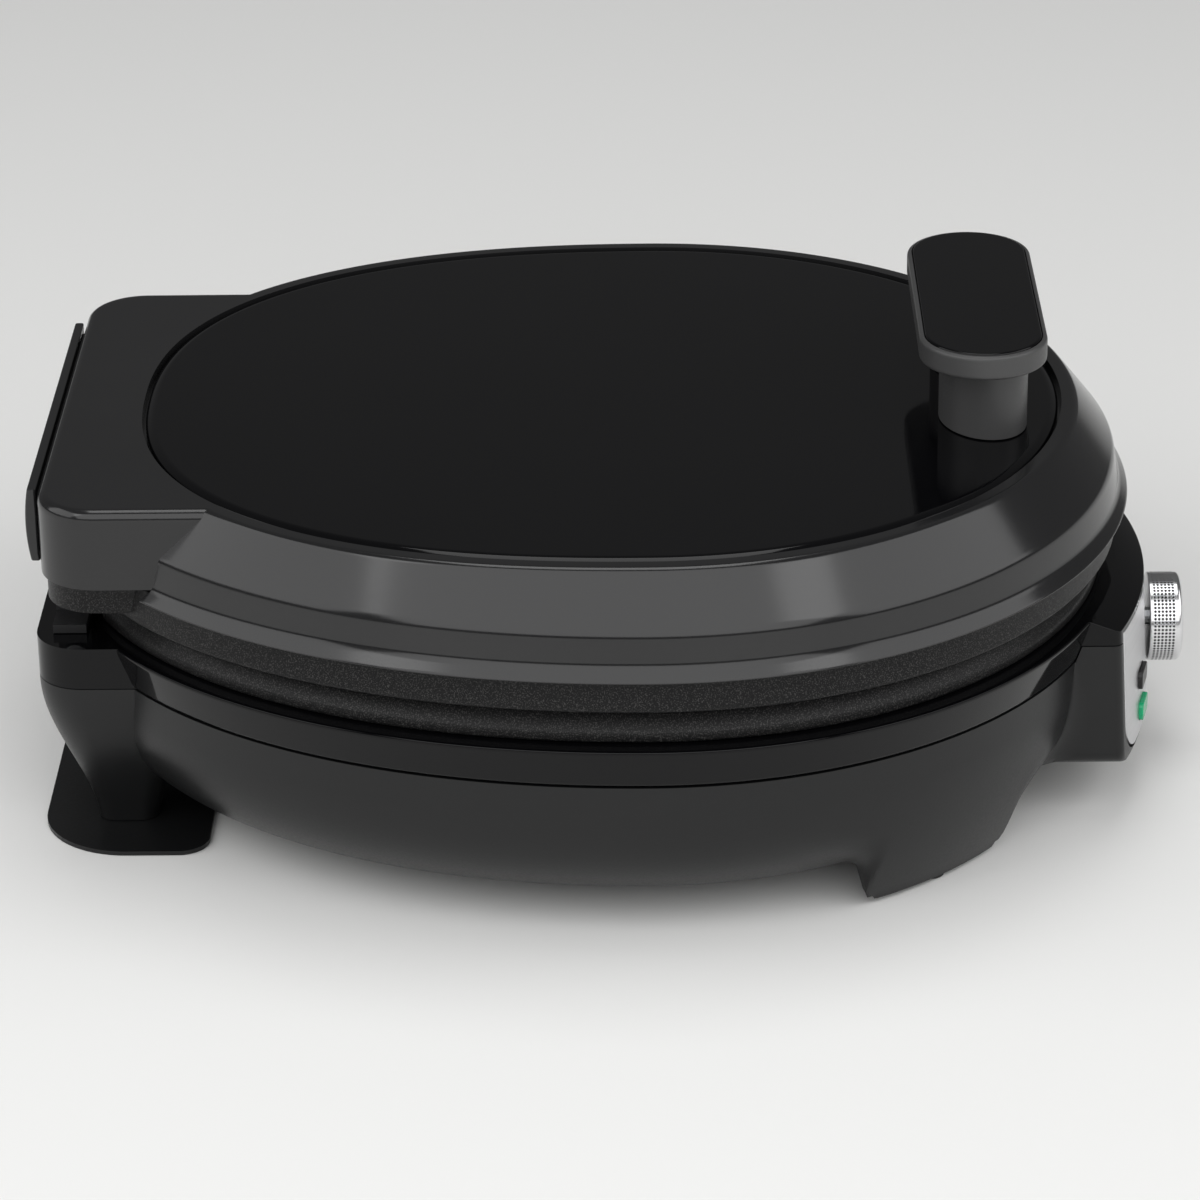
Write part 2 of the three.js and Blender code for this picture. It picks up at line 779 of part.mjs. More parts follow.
// Tubular heating element: an open ring whose ends turn away from the plate
function heatingElement(level, away) {
  const tail = away * elementTail;
  const bend = elementDiameter;
  const offset = -elementInset;
  const side = bodyRadius + offset;
  const rear = panRearReach + offset;
  const power = 2 / panSquareness;
  const ringSteps = 40;
  const start = THREE.MathUtils.degToRad(90 + elementGapDegrees);
  const sweep = 2 * Math.PI - THREE.MathUtils.degToRad(2 * elementGapDegrees);
  const points = [];
  for (let i = 0; i <= ringSteps; i += 1) {
    const angle = start + (sweep * i) / ringSteps;
    const across = Math.cos(angle);
    const along = Math.sin(angle);
    const x = along < 0 ? side * across : side * Math.sign(across) * Math.abs(across) ** power;
    const y = along < 0 ? side * along : rear * along ** power;
    points.push(new THREE.Vector3(x, y, level));
  }
  const first = points[0].clone().add(new THREE.Vector3(bend, 0, tail / 3));
  const last = points[points.length - 1].clone().add(new THREE.Vector3(-bend, 0, tail / 3));
  const firstEnd = first.clone().add(new THREE.Vector3(0, 0, tail));
  const lastEnd = last.clone().add(new THREE.Vector3(0, 0, tail));
  const path = new THREE.CatmullRomCurve3(
    [firstEnd, first, ...points.slice(1, -1), last, lastEnd], false, 'centripetal',
  );
  const section = new THREE.Shape();
  for (let i = 0; i < elementSides; i += 1) {
    const angle = (2 * Math.PI * i) / elementSides;
    const x = (elementDiameter / 2) * Math.cos(angle);
    const y = (elementDiameter / 2) * Math.sin(angle);
    if (i === 0) {
      section.moveTo(x, y);
    } else {
      section.lineTo(x, y);
    }
  }
  section.closePath();
  return new THREE.ExtrudeGeometry(section, {
    steps: elementSteps, bevelEnabled: false, extrudePath: path,
  });
}

// Saddle clamps over the element, feet toward the plate
function elementClamps(level, away) {
  const inner = elementDiameter / 2 + seatGap;
  const outer = inner + clampThickness;
  const foot = outer + clampFoot;
  const seat = -elementDiameter / 2;
  const profile = new THREE.Shape();
  profile.moveTo(-foot, seat);
  profile.lineTo(-inner, seat);
  profile.lineTo(-inner, inner);
  profile.lineTo(inner, inner);
  profile.lineTo(inner, seat);
  profile.lineTo(foot, seat);
  profile.lineTo(foot, seat + clampThickness);
  profile.lineTo(outer, seat + clampThickness);
  profile.lineTo(outer, outer);
  profile.lineTo(-outer, outer);
  profile.lineTo(-outer, seat + clampThickness);
  profile.lineTo(-foot, seat + clampThickness);
  profile.closePath();
  const strap = uprightProfile(profile, clampWidth);
  const facing = away > 0 ? strap : strap.mirror([0, 0, 1]);
  const side = bodyRadius - elementInset;
  return [-Math.PI / 2, Math.PI, 0].map((angle) => (
    facing.rotate([0, 0, THREE.MathUtils.radToDeg(angle) + 90])
      .translate([side * Math.cos(angle), side * Math.sin(angle), level])
  ));
}

// Reflector pan over the element, held between the bosses
function heatShield(level, away, rimLevel) {
  const offset = upperRecessOffset - recessSlope - shieldInset - plateThickness;
  const wall = shieldThickness;
  const back = Math.min(level, level + away * wall);
  const [low, high] = away > 0 ? [rimLevel, back + wall] : [back, rimLevel];
  const outer = planLoft([[panPlan, offset, low], [panPlan, offset, high]]);
  const [innerLow, innerHigh] = away > 0 ? [low - overrun, back] : [back + wall, high + overrun];
  const inner = planLoft([[panPlan, offset - wall, innerLow], [panPlan, offset - wall, innerHigh]]);
  const holes = atBosses(cylinder(screwRadius + seatGap, back - overrun, back + wall + overrun));
  const fromRear = panRearReach - elementInset;
  const tailSlot = slab(
    0, 2 * fromRear * Math.sin(THREE.MathUtils.degToRad(2 * elementGapDegrees)) + 2 * elementDiameter,
    fromRear - 2 * elementDiameter, fromRear + 2 * elementDiameter, back - overrun, back + wall + overrun,
  );
  return cut(outer, [inner, ...holes, tailSlot]);
}

// Base trim ring: gloss band, rear block and the crescent over the panel
function baseTrimRing() {
  const ringBottom = partingLevel;
  const ring = planLoft([[rimPlan, bowlOffset, ringBottom], [rimPlan, trimTopOffset, trimTop]]);
  const block = prism(
    blockOutline(baseBlockHalfWidth, blockFront, baseBlockRear, baseBlockCorner), ringBottom, trimTop, 6,
  );
  const crescent = leaningBody(housingHalfWidth, 0, bodyRadius, panelTrimLevel, trimTop);
  const start = bodyRadius + trimTopOffset;
  const slope = crescentFall / (panelRadiusAt(trimTop) - start);
  const reach = panelRadius + overrun;
  const fall = turned([
    [start, trimTop], [reach, trimTop - slope * (reach - start)], [reach, trimTop + overrun],
    [start, trimTop + overrun], [start, trimTop],
  ], planSegments);
  const frontFall = fall.intersect(slab(0, 4 * bodyRadius, -2 * bodyRadius, 0, 0, 2 * lidTop));
  const panelSeat = panelLayer(seatGap, panelThickness + seatGap, panelTop + seatGap);
  const opening = planLoft([
    [panPlan, lowerPanOffset + panClearance, ringBottom - overrun],
    [panPlan, lowerPanOffset + panClearance, trimTop + overrun],
  ]);
  const flange = trimTop - trimWall;
  const cavity = planLoft([
    [rimPlan, bowlOffset - trimWall, ringBottom - overrun],
    [rimPlan, bowlOffset - trimWall, flange],
  ]);
  const blockCavity = prism(blockOutline(
    baseBlockHalfWidth - trimWall, blockFront, baseBlockRear - trimWall, baseBlockCorner - trimWall,
  ), ringBottom - overrun, flange, 6);
  const crescentCavity = leaningBody(
    housingHalfWidth - trimWall, panelThickness + trimWall + seatGap, blockFront,
    ringBottom - overrun, panelTop - trimWall,
  );
  const outer = cut(join([ring, block, crescent]), [frontFall, panelSeat]);
  const belowCrescent = slab(
    0, 2 * housingHalfWidth, -panelRadius - overrun, -blockFront, ringBottom - overrun, panelTrimLevel,
  );
  return cut(outer, [opening, cavity, blockCavity, crescentCavity, belowCrescent]);
}

// Legs
function sectorRing(inner, outer, startDegrees, endDegrees, level) {
  const steps = 6;
  const ring = [];
  const at = (radius, share) => {
    const turn = THREE.MathUtils.degToRad(startDegrees + (endDegrees - startDegrees) * share);
    return new THREE.Vector3(radius * Math.sin(turn), -radius * Math.cos(turn), level);
  };
  for (let i = 0; i <= steps; i += 1) {
    ring.push(at(outer, i / steps));
  }
  for (let i = steps; i >= 0; i -= 1) {
    ring.push(at(inner, i / steps));
  }
  return ring;
}

function frontLegBody() {
  const mix = (low, high, share) => low + (high - low) * share;
  const rows = [
    [footPadThickness, 0, legFootStartDegrees, legFootEndDegrees],
    [legAnkleRise, legAnkleRise / legTopRise, legAnkleStartDegrees, legAnkleEndDegrees],
    [legShankRise, legShankShare, legShankStartDegrees, legShankEndDegrees],
    [legTopRise, 1, legTopStartDegrees, legTopEndDegrees],
  ];
  return loft(rows.map(([level, share, startDegrees, endDegrees]) => sectorRing(
    mix(legFootRadius - legFootThickness, legTopRadius - legTopThickness, share),
    mix(legFootRadius, legTopRadius, share),
    startDegrees,
    endDegrees,
    level,
  )));
}

function rearLegBody() {
  const mix = (foot, top, share) => foot + (top - foot) * share;
  const rows = [
    [0, wrapPlateThickness + seatGap],
    [rearLegKneeShare, rearLegKneeRise],
    [1, partingLevel - blockFloorDrop - seatGap],
  ];
  return loft(rows.map(([share, level]) => outlineRing(roundedOutline(
    mix(rearLegFootWidth, rearLegTopWidth, share),
    mix(rearLegFootDepth, rearLegTopDepth, share),
    rearLegCorner,
    -mix(rearLegFootX, rearLegTopX, share),
    mix(rearLegFootY, rearLegTopY, share),
  ), level, 4)));
}

// Lower shell: bowl, rear block and the panel's housing
function bowlSolid(inset, top) {
  const rounding = bowlRounding - inset;
  const rows = [];
  for (let i = 0; i <= bowlArcSteps; i += 1) {
    const angle = (Math.PI / 2) * (1 - i / bowlArcSteps);
    const offset = bowlOffset - bowlRounding + rounding * Math.cos(angle);
    rows.push([rimPlan, offset, bowlClearance + bowlRounding - rounding * Math.sin(angle)]);
  }
  rows.push([rimPlan, bowlOffset - inset, top]);
  return planLoft(rows);
}

// Each leg ends where it meets the bowl
function legs(body) {
  return mirrored(cut(body, [bowlSolid(-seatGap, partingLevel)]));
}

function lowerShell() {
  const top = partingLevel - seatGap;
  const blockBottom = partingLevel - blockFloorDrop;
  const outerBlock = prism(
    blockOutline(baseBlockHalfWidth, blockFront, baseBlockRear, baseBlockCorner), blockBottom, top, 6,
  );
  const innerBlock = prism(blockOutline(
    baseBlockHalfWidth - bowlWall, blockFront, baseBlockRear - bowlWall, baseBlockCorner - bowlWall,
  ), blockBottom + bowlWall, top + overrun, 6);
  const pocketDepth = panelThickness + seatGap;
  const housingTop = panelTrimLevel - seatGap;
  const housingFloor = housingClearance + bowlWall;
  const outerHousing = leaningBody(housingHalfWidth, 0, bodyRadius, housingClearance, housingTop);
  const pocket = panelLayer(seatGap, pocketDepth, housingTop + overrun);
  const innerSetBack = pocketDepth + bowlWall;
  const innerHalfWidth = housingHalfWidth - bowlWall;
  const innerRadius = panelRadiusAt(housingTop + overrun) - innerSetBack;
  const innerHousing = leaningBody(
    innerHalfWidth, innerSetBack, Math.sqrt(innerRadius ** 2 - innerHalfWidth ** 2) - bowlWall,
    housingFloor, housingTop + overrun,
  );
  const wireOpening = slab(
    0, 2 * wireOpeningHalfWidth, -panelRadius + 2 * bowlWall + panelThickness, -bodyRadius + bowlWall,
    housingFloor, top + overrun,
  );
  const outer = join([bowlSolid(0, top), outerBlock, outerHousing]);
  const clearFront = cylinder(bodyRadius + trimTopOffset + seatGap, top, housingTop + overrun, planSegments);
  const hollow = cut(outer, [bowlSolid(bowlWall, top + overrun), innerBlock, innerHousing, clearFront]);
  const shelf = lowerShieldLevel - shieldThickness - seatGap;
  const bosses = atBosses(cylinder(bossRadius, bowlClearance, shelf));
  const bores = atBosses(join([
    cylinder(screwHeadRadius + seatGap, bowlClearance - overrun, shelf - 2 * bowlWall),
    cylinder(screwRadius + seatGap, bowlClearance - overrun, shelf + overrun),
  ]));
  return cut(join([hollow, ...bosses]), [
    ...bores, wireOpening, pocket, ...lensCuts(panelRadius), shaftHole(), glandHole(),
  ]);
}

function shaftHole() {
  return towardFront(cylinder(shaftRadius + runningGap, bodyRadius, panelRadius + overrun))
    .translate([0, 0, knobRise]);
}

function glandHole() {
  return towardFront(cylinder(glandRadius - glandFlange, -bowlRear - overrun, -panRearReach))
    .translate([0, 0, glandRise]);
}

// Lenses stand square to the curved panel, side by side with the knob
function turnedToLens(solid) {
  const angle = THREE.MathUtils.radToDeg(Math.asin(lensOffset / panelRadius));
  return solid.rotate([0, 0, -angle]);
}

function lensBody(inset, fromRadius, toRadius, rise) {
  const outline = roundedOutline(lensWidth - 2 * inset, lensHeight - 2 * inset, lensCorner - inset);
  return turnedToLens(towardFront(prism(outline, fromRadius, toRadius, 4)).translate([0, 0, rise]));
}

function lensCuts(toRadius) {
  return [powerLensRise, readyLensRise].map((rise) => (
    lensBody(-seatGap, bodyRadius + bowlOffset + overrun, toRadius + overrun, rise)
  ));
}

function lens(rise) {
  const back = panelRadius - panelThickness - bowlWall - lensRise;
  return lensBody(0, back, panelRadius + lensRise, rise);
}

function controlPanel() {
  const sheet = panelLayer(0, panelThickness, panelTop);
  return cut(sheet, [shaftHole(), ...lensCuts(panelRadius)]);
}

// Knob with rows of raised dots, drawn along +Z and turned to the front
function temperatureKnob() {
  const rows = [];
  const gripFrom = knobBaseBand;
  const gripTo = knobLength - knobChamfer;
  const segments = 2 * knurlCount;
  const knobRing = (radius, raise, level) => {
    const ring = [];
    for (let i = 0; i < segments; i += 1) {
      const angle = (2 * Math.PI * i) / segments;
      const r = radius + (i % 2) * raise;
      ring.push(new THREE.Vector3(r * Math.cos(angle), r * Math.sin(angle), level));
    }
    return ring;
  };
  const core = knobRadius - knurlDepth;
  rows.push(knobRing(core, 0, 0));
  for (let row = 0; row < knurlRows; row += 1) {
    const pitch = (gripTo - gripFrom) / knurlRows;
    rows.push(knobRing(core, 0, gripFrom + row * pitch));
    rows.push(knobRing(core, knurlDepth, gripFrom + (row + 1 / 2) * pitch));
  }
  rows.push(knobRing(core, 0, gripTo));
  rows.push(knobRing(knobRadius - knobChamfer, 0, knobLength - knobDome));
  rows.push(knobRing((knobRadius - knobChamfer) / 2, 0, knobLength - knobDome / 4));
  const body = loft(rows);
  const bore = cylinder(shaftRadius + seatGap, -overrun, shaftBite);
  return towardFront(cut(body, [bore]).translate([0, 0, panelRadius + knobStandOff]))
    .translate([0, 0, knobRise]);
}

function shaftStart() {
  return panelRadius - panelThickness - bowlWall - bracketThickness - 2 * seatGap - bushingLength;
}

function thermostatShaft() {
  const tip = panelRadius + knobStandOff + shaftBite - seatGap;
  return towardFront(cylinder(shaftRadius, shaftStart() + seatGap, tip)).translate([0, 0, knobRise]);
}

function thermostatBody() {
  const front = shaftStart();
  const body = join([
    cylinder(thermostatRadius, front - thermostatLength, front, 24),
    cylinder(bushingRadius, front - overrun, front + bushingLength),
  ]);
  const bore = cylinder(shaftRadius + seatGap, front, front + bushingLength + overrun);
  return towardFront(cut(body, [bore])).translate([0, 0, knobRise]);
}

// Bracket plate that carries the thermostat behind the housing's front wall
function thermostatBracket() {
  const top = knobRise + bracketHeight / 2;
  const back = panelRadiusAt(top) - panelThickness - bowlWall - bracketThickness - 2 * seatGap;
  const fall = panelRadius - Math.sqrt(panelRadius ** 2 - bracketHalfWidth ** 2);
  const outline = roundedOutline(2 * bracketHalfWidth, bracketHeight, 2 * bracketThickness);
  const plate = prism(outline, back - fall, back - fall + bracketThickness, 4);
  const hole = cylinder(bushingRadius + seatGap, back - fall - overrun, back + overrun);
  return towardFront(cut(plate, [hole])).translate([0, 0, knobRise]);
}

function lampAt(rise) {
  const lensBack = panelRadius - panelThickness - bowlWall - lensRise;
  const front = lensBack - seatGap;
  const body = turned([
    [0, front - lampLength], [lampRadius, front - lampLength], [lampRadius, front - lampRadius],
    [lampRadius * Math.SQRT1_2, front - lampRadius * (1 - Math.SQRT1_2)], [0, front],
  ], 16);
  return turnedToLens(towardFront(body).translate([0, 0, rise]));
}

function lampHolder() {
  const lensBack = panelRadius - panelThickness - bowlWall - lensRise;
  const back = lensBack - seatGap - lampLength / 2;
  const bottom = housingClearance + bowlWall + seatGap;
  const plate = towardFront(prism(
    roundedOutline(2 * holderHalfWidth, holderHeight, holderThickness), back - holderThickness, back, 4,
  )).translate([0, 0, bottom + holderHeight / 2]);
  const sockets = [powerLensRise, readyLensRise].map((rise) => (
    towardFront(cylinder(lampRadius + seatGap, back - 2 * holderThickness, back + overrun, 16))
      .translate([0, 0, rise])
  ));
  return turnedToLens(cut(plate, sockets));
}

// Terminal block on the bowl's floor
function terminalBlock() {
  const bottom = bowlFloor + seatGap;
  const top = bottom + terminalHeight;
  const body = slab(0, terminalLength, terminalY, terminalY + terminalWidth, bottom, top);
  const pitch = terminalLength / terminalSlots;
  const slots = [];
  for (let i = 0; i < terminalSlots; i += 1) {
    const x = pitch * (i + 1 / 2) - terminalLength / 2;
    slots.push(slab(
      x, terminalSlotWidth, terminalY - overrun, terminalY + terminalWidth + overrun,
      top - terminalSlotDepth, top + overrun,
    ));
  }
  return cut(body, slots);
}

// Thermal fuse against the lower plate, in its clip
function thermalFuse() {
  const level = lowerBack - seatGap - fuseRadius;
  return alongX(cylinder(fuseRadius, -fuseLength / 2, fuseLength / 2, 12)).translate([0, fuseY, level]);
}

function fuseClip() {
  const level = lowerBack - seatGap - fuseRadius;
  const inner = fuseRadius + seatGap;
  const outer = inner + fuseClipThickness;
  const foot = outer + fuseClipLength;
  const profile = new THREE.Shape();
  profile.moveTo(-outer, -outer);
  profile.lineTo(outer, -outer);
  profile.lineTo(outer, inner - fuseClipThickness);
  profile.lineTo(foot, inner - fuseClipThickness);
  profile.lineTo(foot, inner - seatGap / 2);
  profile.lineTo(inner, inner - seatGap / 2);
  profile.lineTo(inner, -inner);
  profile.lineTo(-inner, -inner);
  profile.lineTo(-inner, inner - seatGap / 2);
  profile.lineTo(-outer, inner - seatGap / 2);
  profile.closePath();
  return uprightProfile(profile, fuseClipLength).translate([0, fuseY, level]);
}

// Gland where the cord would leave the base
function cordGland() {
  const rear = bowlRear;
  const body = turned([
    [0, rear - glandLength], [glandRadius - glandFlange - seatGap, rear - glandLength],
    [glandRadius - glandFlange - seatGap, rear + seatGap], [glandRadius, rear + seatGap],
    [glandRadius, rear + glandFlange / 2], [0, rear + glandFlange / 2],
  ], 24);
  const bore = cylinder(glandBoreRadius, rear - glandLength - overrun, rear + glandFlange, 24);
  return cut(body, [bore]).rotate([-90, 0, 0]).translate([0, 0, glandRise]);
}

// Wrap plate on the ground and the front foot pads
function cordWrapPlate() {
  const outline = new THREE.Shape();
  const corner = wrapPlateCorner;
  const small = wrapPlateFrontCorner;
  outline.absarc(wrapPlateHalfWidth - small, wrapPlateFront + small, small, -Math.PI / 2, 0, false);
  outline.absarc(wrapPlateHalfWidth - corner, wrapPlateRear - corner, corner, 0, Math.PI / 2, false);
  outline.absarc(corner - wrapPlateHalfWidth, wrapPlateRear - corner, corner, Math.PI / 2, Math.PI, false);
  outline.absarc(small - wrapPlateHalfWidth, wrapPlateFront + small, small, Math.PI, 1.5 * Math.PI, false);
  outline.closePath();
  return prism(outline, 0, wrapPlateThickness);
}

function footPads() {
  const turn = THREE.MathUtils.degToRad((legFootStartDegrees + legFootEndDegrees) / 2);
  const radius = legFootRadius - legFootThickness / 2;
  const pad = cylinder(footPadRadius, 0, footPadThickness - seatGap)
    .translate([radius * Math.sin(turn), -radius * Math.cos(turn), 0]);
  return mirrored(pad);
}

// Hinge: arms on the lid, brackets on the base, pins along X
function lidHingeArms() {
  const inner = armX - armWidth / 2;
  const flangeTop = deckUnderside - seatGap;
  const wallSide = lidBlockRear - housingWall - seatGap;
  const profile = new THREE.Shape();
  profile.absarc(pivotY, pivotRise, armRadius, Math.PI, 2 * Math.PI, false);
  profile.lineTo(pivotY + armRadius, pivotRise);
  profile.lineTo(Math.min(wallSide, pivotY + armRadius), pivotRise + armRadius);
  profile.lineTo(Math.min(wallSide, pivotY + armRadius), flangeTop);
  profile.lineTo(pivotY - armRadius, flangeTop);
  profile.closePath();
  const arm = uprightProfile(profile, armWidth).translate([armX, 0, 0]);
  const flange = slab(
    inner - armFlangeLength / 2 + armWidth, armFlangeLength, pivotY - armRadius, pivotY + armRadius / 2,
    flangeTop - armFlangeThickness, flangeTop,
  );
  const bore = alongX(cylinder(pinRadius + seatGap, inner - overrun, inner + armWidth + overrun))
    .translate([0, pivotY, pivotRise]);
  return mirrored(cut(join([arm, flange]), [bore]));
}

function bracketX() {
  return armX + armWidth / 2 + runningGap + bracketWidth / 2;
}

function baseHingeBrackets() {
  const bottom = trimTop + seatGap;
  const profile = new THREE.Shape();
  profile.absarc(pivotY, pivotRise, armRadius, 0, Math.PI, false);
  profile.lineTo(pivotY - armRadius, bottom);
  profile.lineTo(pivotY + armRadius, bottom);
  profile.closePath();
  const bracket = uprightProfile(profile, bracketWidth).translate([bracketX(), 0, 0]);
  const outerSide = bracketX() + bracketWidth / 2;
  const foot = slab(
    outerSide + bracketFootLength / 2 - overrun, bracketFootLength, pivotY - armRadius, pivotY + armRadius,
    bottom, bottom + bracketFootThickness,
  );
  const bore = alongX(cylinder(pinRadius + seatGap, armX, outerSide + overrun))
    .translate([0, pivotY, pivotRise]);
  return mirrored(cut(join([bracket, foot]), [bore]));
}

function hingePins() {
  const inner = armX - armWidth / 2 - seatGap;
  const outer = bracketX() + bracketWidth / 2 + seatGap;
  const pin = turned([
    [0, inner - pinHeadLength], [pinHeadRadius, inner - pinHeadLength], [pinHeadRadius, inner],
    [pinRadius, inner], [pinRadius, outer], [pinHeadRadius, outer],
    [pinHeadRadius, outer + pinHeadLength], [0, outer + pinHeadLength],
  ], 16);
  return mirrored(alongX(pin).translate([0, pivotY, pivotRise]));
}

function upperPlateScrews() {
  const head = deckTop - seatGap;
  const tip = upperBack + plateThickness;
  return atBosses(screw(-head, -tip).rotate([180, 0, 0]));
}

function lowerPlateScrews() {
  const shelf = lowerShieldLevel - shieldThickness - seatGap;
  const head = shelf - 2 * bowlWall - seatGap - screwHeadHeight;
  return atBosses(screw(head, lowerBack - plateThickness));
}

const pairPlaces = ['left', 'right'];
const cornerPlaces = ['front_left', 'front_right', 'rear_left', 'rear_right'];
const clampPlaces = ['front', 'left', 'right'];

addPiece('lid_housing', lidHousing(), 'satinBlack');
addPiece('lid_top_disc', lidTopDisc(), 'glossBlack');
addPiece('lid_rear_cover', lidRearCover(), 'satinBlack');
addPiece('handle_bar', handleBar(), 'softGrey');
addPiece('handle_inlay', handleInlay(), 'glossBlack');
addCopies('handle_post', pairPlaces, handlePosts(), 'softGrey');
addCopies('handle_screw', pairPlaces, handleScrews(), 'steel');
addPiece('upper_plate', upperPlate(), 'speckled');
addPiece('upper_heating_element', heatingElement(upperElementLevel, 1), 'steel');
addCopies('upper_element_clamp', clampPlaces, elementClamps(upperElementLevel, 1), 'steel');
addPiece('upper_heat_shield', heatShield(upperShieldLevel, 1, upperBack + seatGap), 'aluminium');
addCopies('upper_plate_screw', cornerPlaces, upperPlateScrews(), 'steel');
addCopies('lid_hinge_arm', pairPlaces, lidHingeArms(), 'blackSteel');
addPiece('lower_plate', lowerPlate(), 'speckled');
addPiece('lower_heating_element', heatingElement(lowerElementLevel, -1), 'steel');
addCopies('lower_element_clamp', clampPlaces, elementClamps(lowerElementLevel, -1), 'steel');
addPiece('lower_heat_shield', heatShield(lowerShieldLevel, -1, lowerBack - seatGap), 'aluminium');
addCopies('lower_plate_screw', cornerPlaces, lowerPlateScrews(), 'steel');
addPiece('base_trim_ring', baseTrimRing(), 'glossBlack');
addPiece('base_lower_shell', lowerShell(), 'matteBlack');
addCopies('front_leg', pairPlaces, legs(frontLegBody()), 'matteBlack');
addCopies('rear_leg', pairPlaces, legs(rearLegBody()), 'matteBlack');
addPiece('control_panel', controlPanel(), 'brushedSilver');
addPiece('temperature_knob', temperatureKnob(), 'chrome');
addPiece('thermostat_shaft', thermostatShaft(), 'steel');
addPiece('thermostat_body', thermostatBody(), 'ceramicWhite');
addPiece('thermostat_bracket', thermostatBracket(), 'steel');
addPiece('power_lens', lens(powerLensRise), 'darkLens');
addPiece('ready_lens', lens(readyLensRise), 'greenLens');
addPiece('power_lamp', lampAt(powerLensRise), 'glass');
addPiece('ready_lamp', lampAt(readyLensRise), 'glass');
addPiece('lamp_holder', lampHolder(), 'matteBlack');
addPiece('terminal_block', terminalBlock(), 'ceramicWhite');
addPiece('thermal_fuse', thermalFuse(), 'ceramicWhite');
addPiece('fuse_clip', fuseClip(), 'steel');
addPiece('cord_gland', cordGland(), 'rubber');
addPiece('cord_wrap_plate', cordWrapPlate(), 'matteBlack');
addCopies('foot_pad', pairPlaces, footPads(), 'rubber');
addCopies('base_hinge_bracket', pairPlaces, baseHingeBrackets(), 'blackSteel');
addCopies('hinge_pin', pairPlaces, hingePins(), 'steel');

// The knob's face is foremost and the wrap plate or the cover is rearmost
const frontReach = panelRadius + knobStandOff + knobLength - knobDome / 4;
const rearReach = Math.max(
  wrapPlateRear, baseBlockRear, lidBlockRear + coverGap + coverThickness + coverBulge,
);
group.position.y = (frontReach - rearReach) / 2;

export default group;
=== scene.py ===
# Electric pizza maker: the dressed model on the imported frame. Metres, in the frame's own axes.
# Shapes are drawn about the centre of the body's front half circle, then shifted into the frame.

import json
from math import acos, asin, copysign, cos, pi, radians, sin, sqrt

import bmesh
import bpy
from mathutils import Matrix, Vector


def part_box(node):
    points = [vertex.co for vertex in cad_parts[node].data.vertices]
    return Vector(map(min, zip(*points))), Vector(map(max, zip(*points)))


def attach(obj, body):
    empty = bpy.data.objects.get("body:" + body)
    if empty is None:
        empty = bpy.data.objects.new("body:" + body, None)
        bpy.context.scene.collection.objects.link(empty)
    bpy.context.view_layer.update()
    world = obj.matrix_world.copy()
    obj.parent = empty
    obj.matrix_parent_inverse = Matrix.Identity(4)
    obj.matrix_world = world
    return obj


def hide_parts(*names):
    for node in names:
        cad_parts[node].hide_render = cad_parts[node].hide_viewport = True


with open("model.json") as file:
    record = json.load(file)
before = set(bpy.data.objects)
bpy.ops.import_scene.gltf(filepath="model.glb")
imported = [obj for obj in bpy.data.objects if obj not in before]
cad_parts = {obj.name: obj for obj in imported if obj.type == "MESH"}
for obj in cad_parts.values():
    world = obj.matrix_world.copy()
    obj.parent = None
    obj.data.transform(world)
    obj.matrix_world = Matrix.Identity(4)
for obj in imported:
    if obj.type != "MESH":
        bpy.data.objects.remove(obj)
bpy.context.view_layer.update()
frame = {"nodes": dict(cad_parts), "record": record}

MM = 0.001

# Plan outline, as in the solids: a half circle in front, a longer and squarer half behind
BODY_RADIUS = 137.3 * MM

# Rear halves of the plan: how far each reaches from the centre, and the power of its curve
DISC_PLAN = (168.6 * MM, 2.34)
RIM_PLAN = (179.2 * MM, 2.05)
PAN_PLAN = (158.0 * MM, 2.2)

# Steps of the curves
PLAN_STEPS = 256
SKIN_STEPS = 840
ROUND_STEPS = 32
ARC_STEPS = 12

# Clearances and soft edges
SEAT_GAP = 0.3 * MM
OVERRUN = 2.0 * MM
INLAND = 3.0 * MM
SOFT_EDGE = 1.0 * MM
LID_SOFT_EDGE = 1.6 * MM
TRIM_SOFT_EDGE = 1.6 * MM
SOFT_SHARE = 0.45
SOFT_STEPS = 5
CRISP_EDGE = 0.35 * MM
EDGE_SEGMENTS = 3
EDGE_LIMIT = radians(30)
SMOOTH_LIMIT = radians(28)

# Heights of the stack, from the ground up
BOWL_CLEARANCE = 8.0 * MM
PARTING = 60.4 * MM
TRIM_TOP = 75.0 * MM
LID_EDGE = 99.9 * MM
LID_RIDGE = 104.3 * MM
LID_CONE = 115.0 * MM
LID_TOP = 132.0 * MM

# Lid outline, outside the body radius
DISC_EDGE = 2.5 * MM
LIP_INNER = 3.7 * MM
LIP_OUTER = 8.6 * MM
CONE_OFFSET = 22.0 * MM
RIDGE_OFFSET = 23.8 * MM
EDGE_OFFSET = 27.6 * MM
LID_WALL = 2.5 * MM
LID_LIP_FLARE = 1.8 * MM
DISC_THICKNESS = 4.0 * MM
DISC_BEVEL_DROP = 1.2 * MM
DECK_THICKNESS = 2.5 * MM
LID_BLOCK_HALF = 99.0 * MM
LID_BLOCK_REAR = 200.5 * MM
LID_BLOCK_CORNER = 20.0 * MM
LID_BLOCK_BEVEL = 2.0 * MM
BLOCK_FRONT = 60.0 * MM

# Lid rear cover
COVER_HALF = 75.0 * MM
COVER_GAP = 1.0 * MM
COVER_THICKNESS = 3.0 * MM
COVER_BULGE = 1.2 * MM
COVER_TOP_INSET = 2.0 * MM

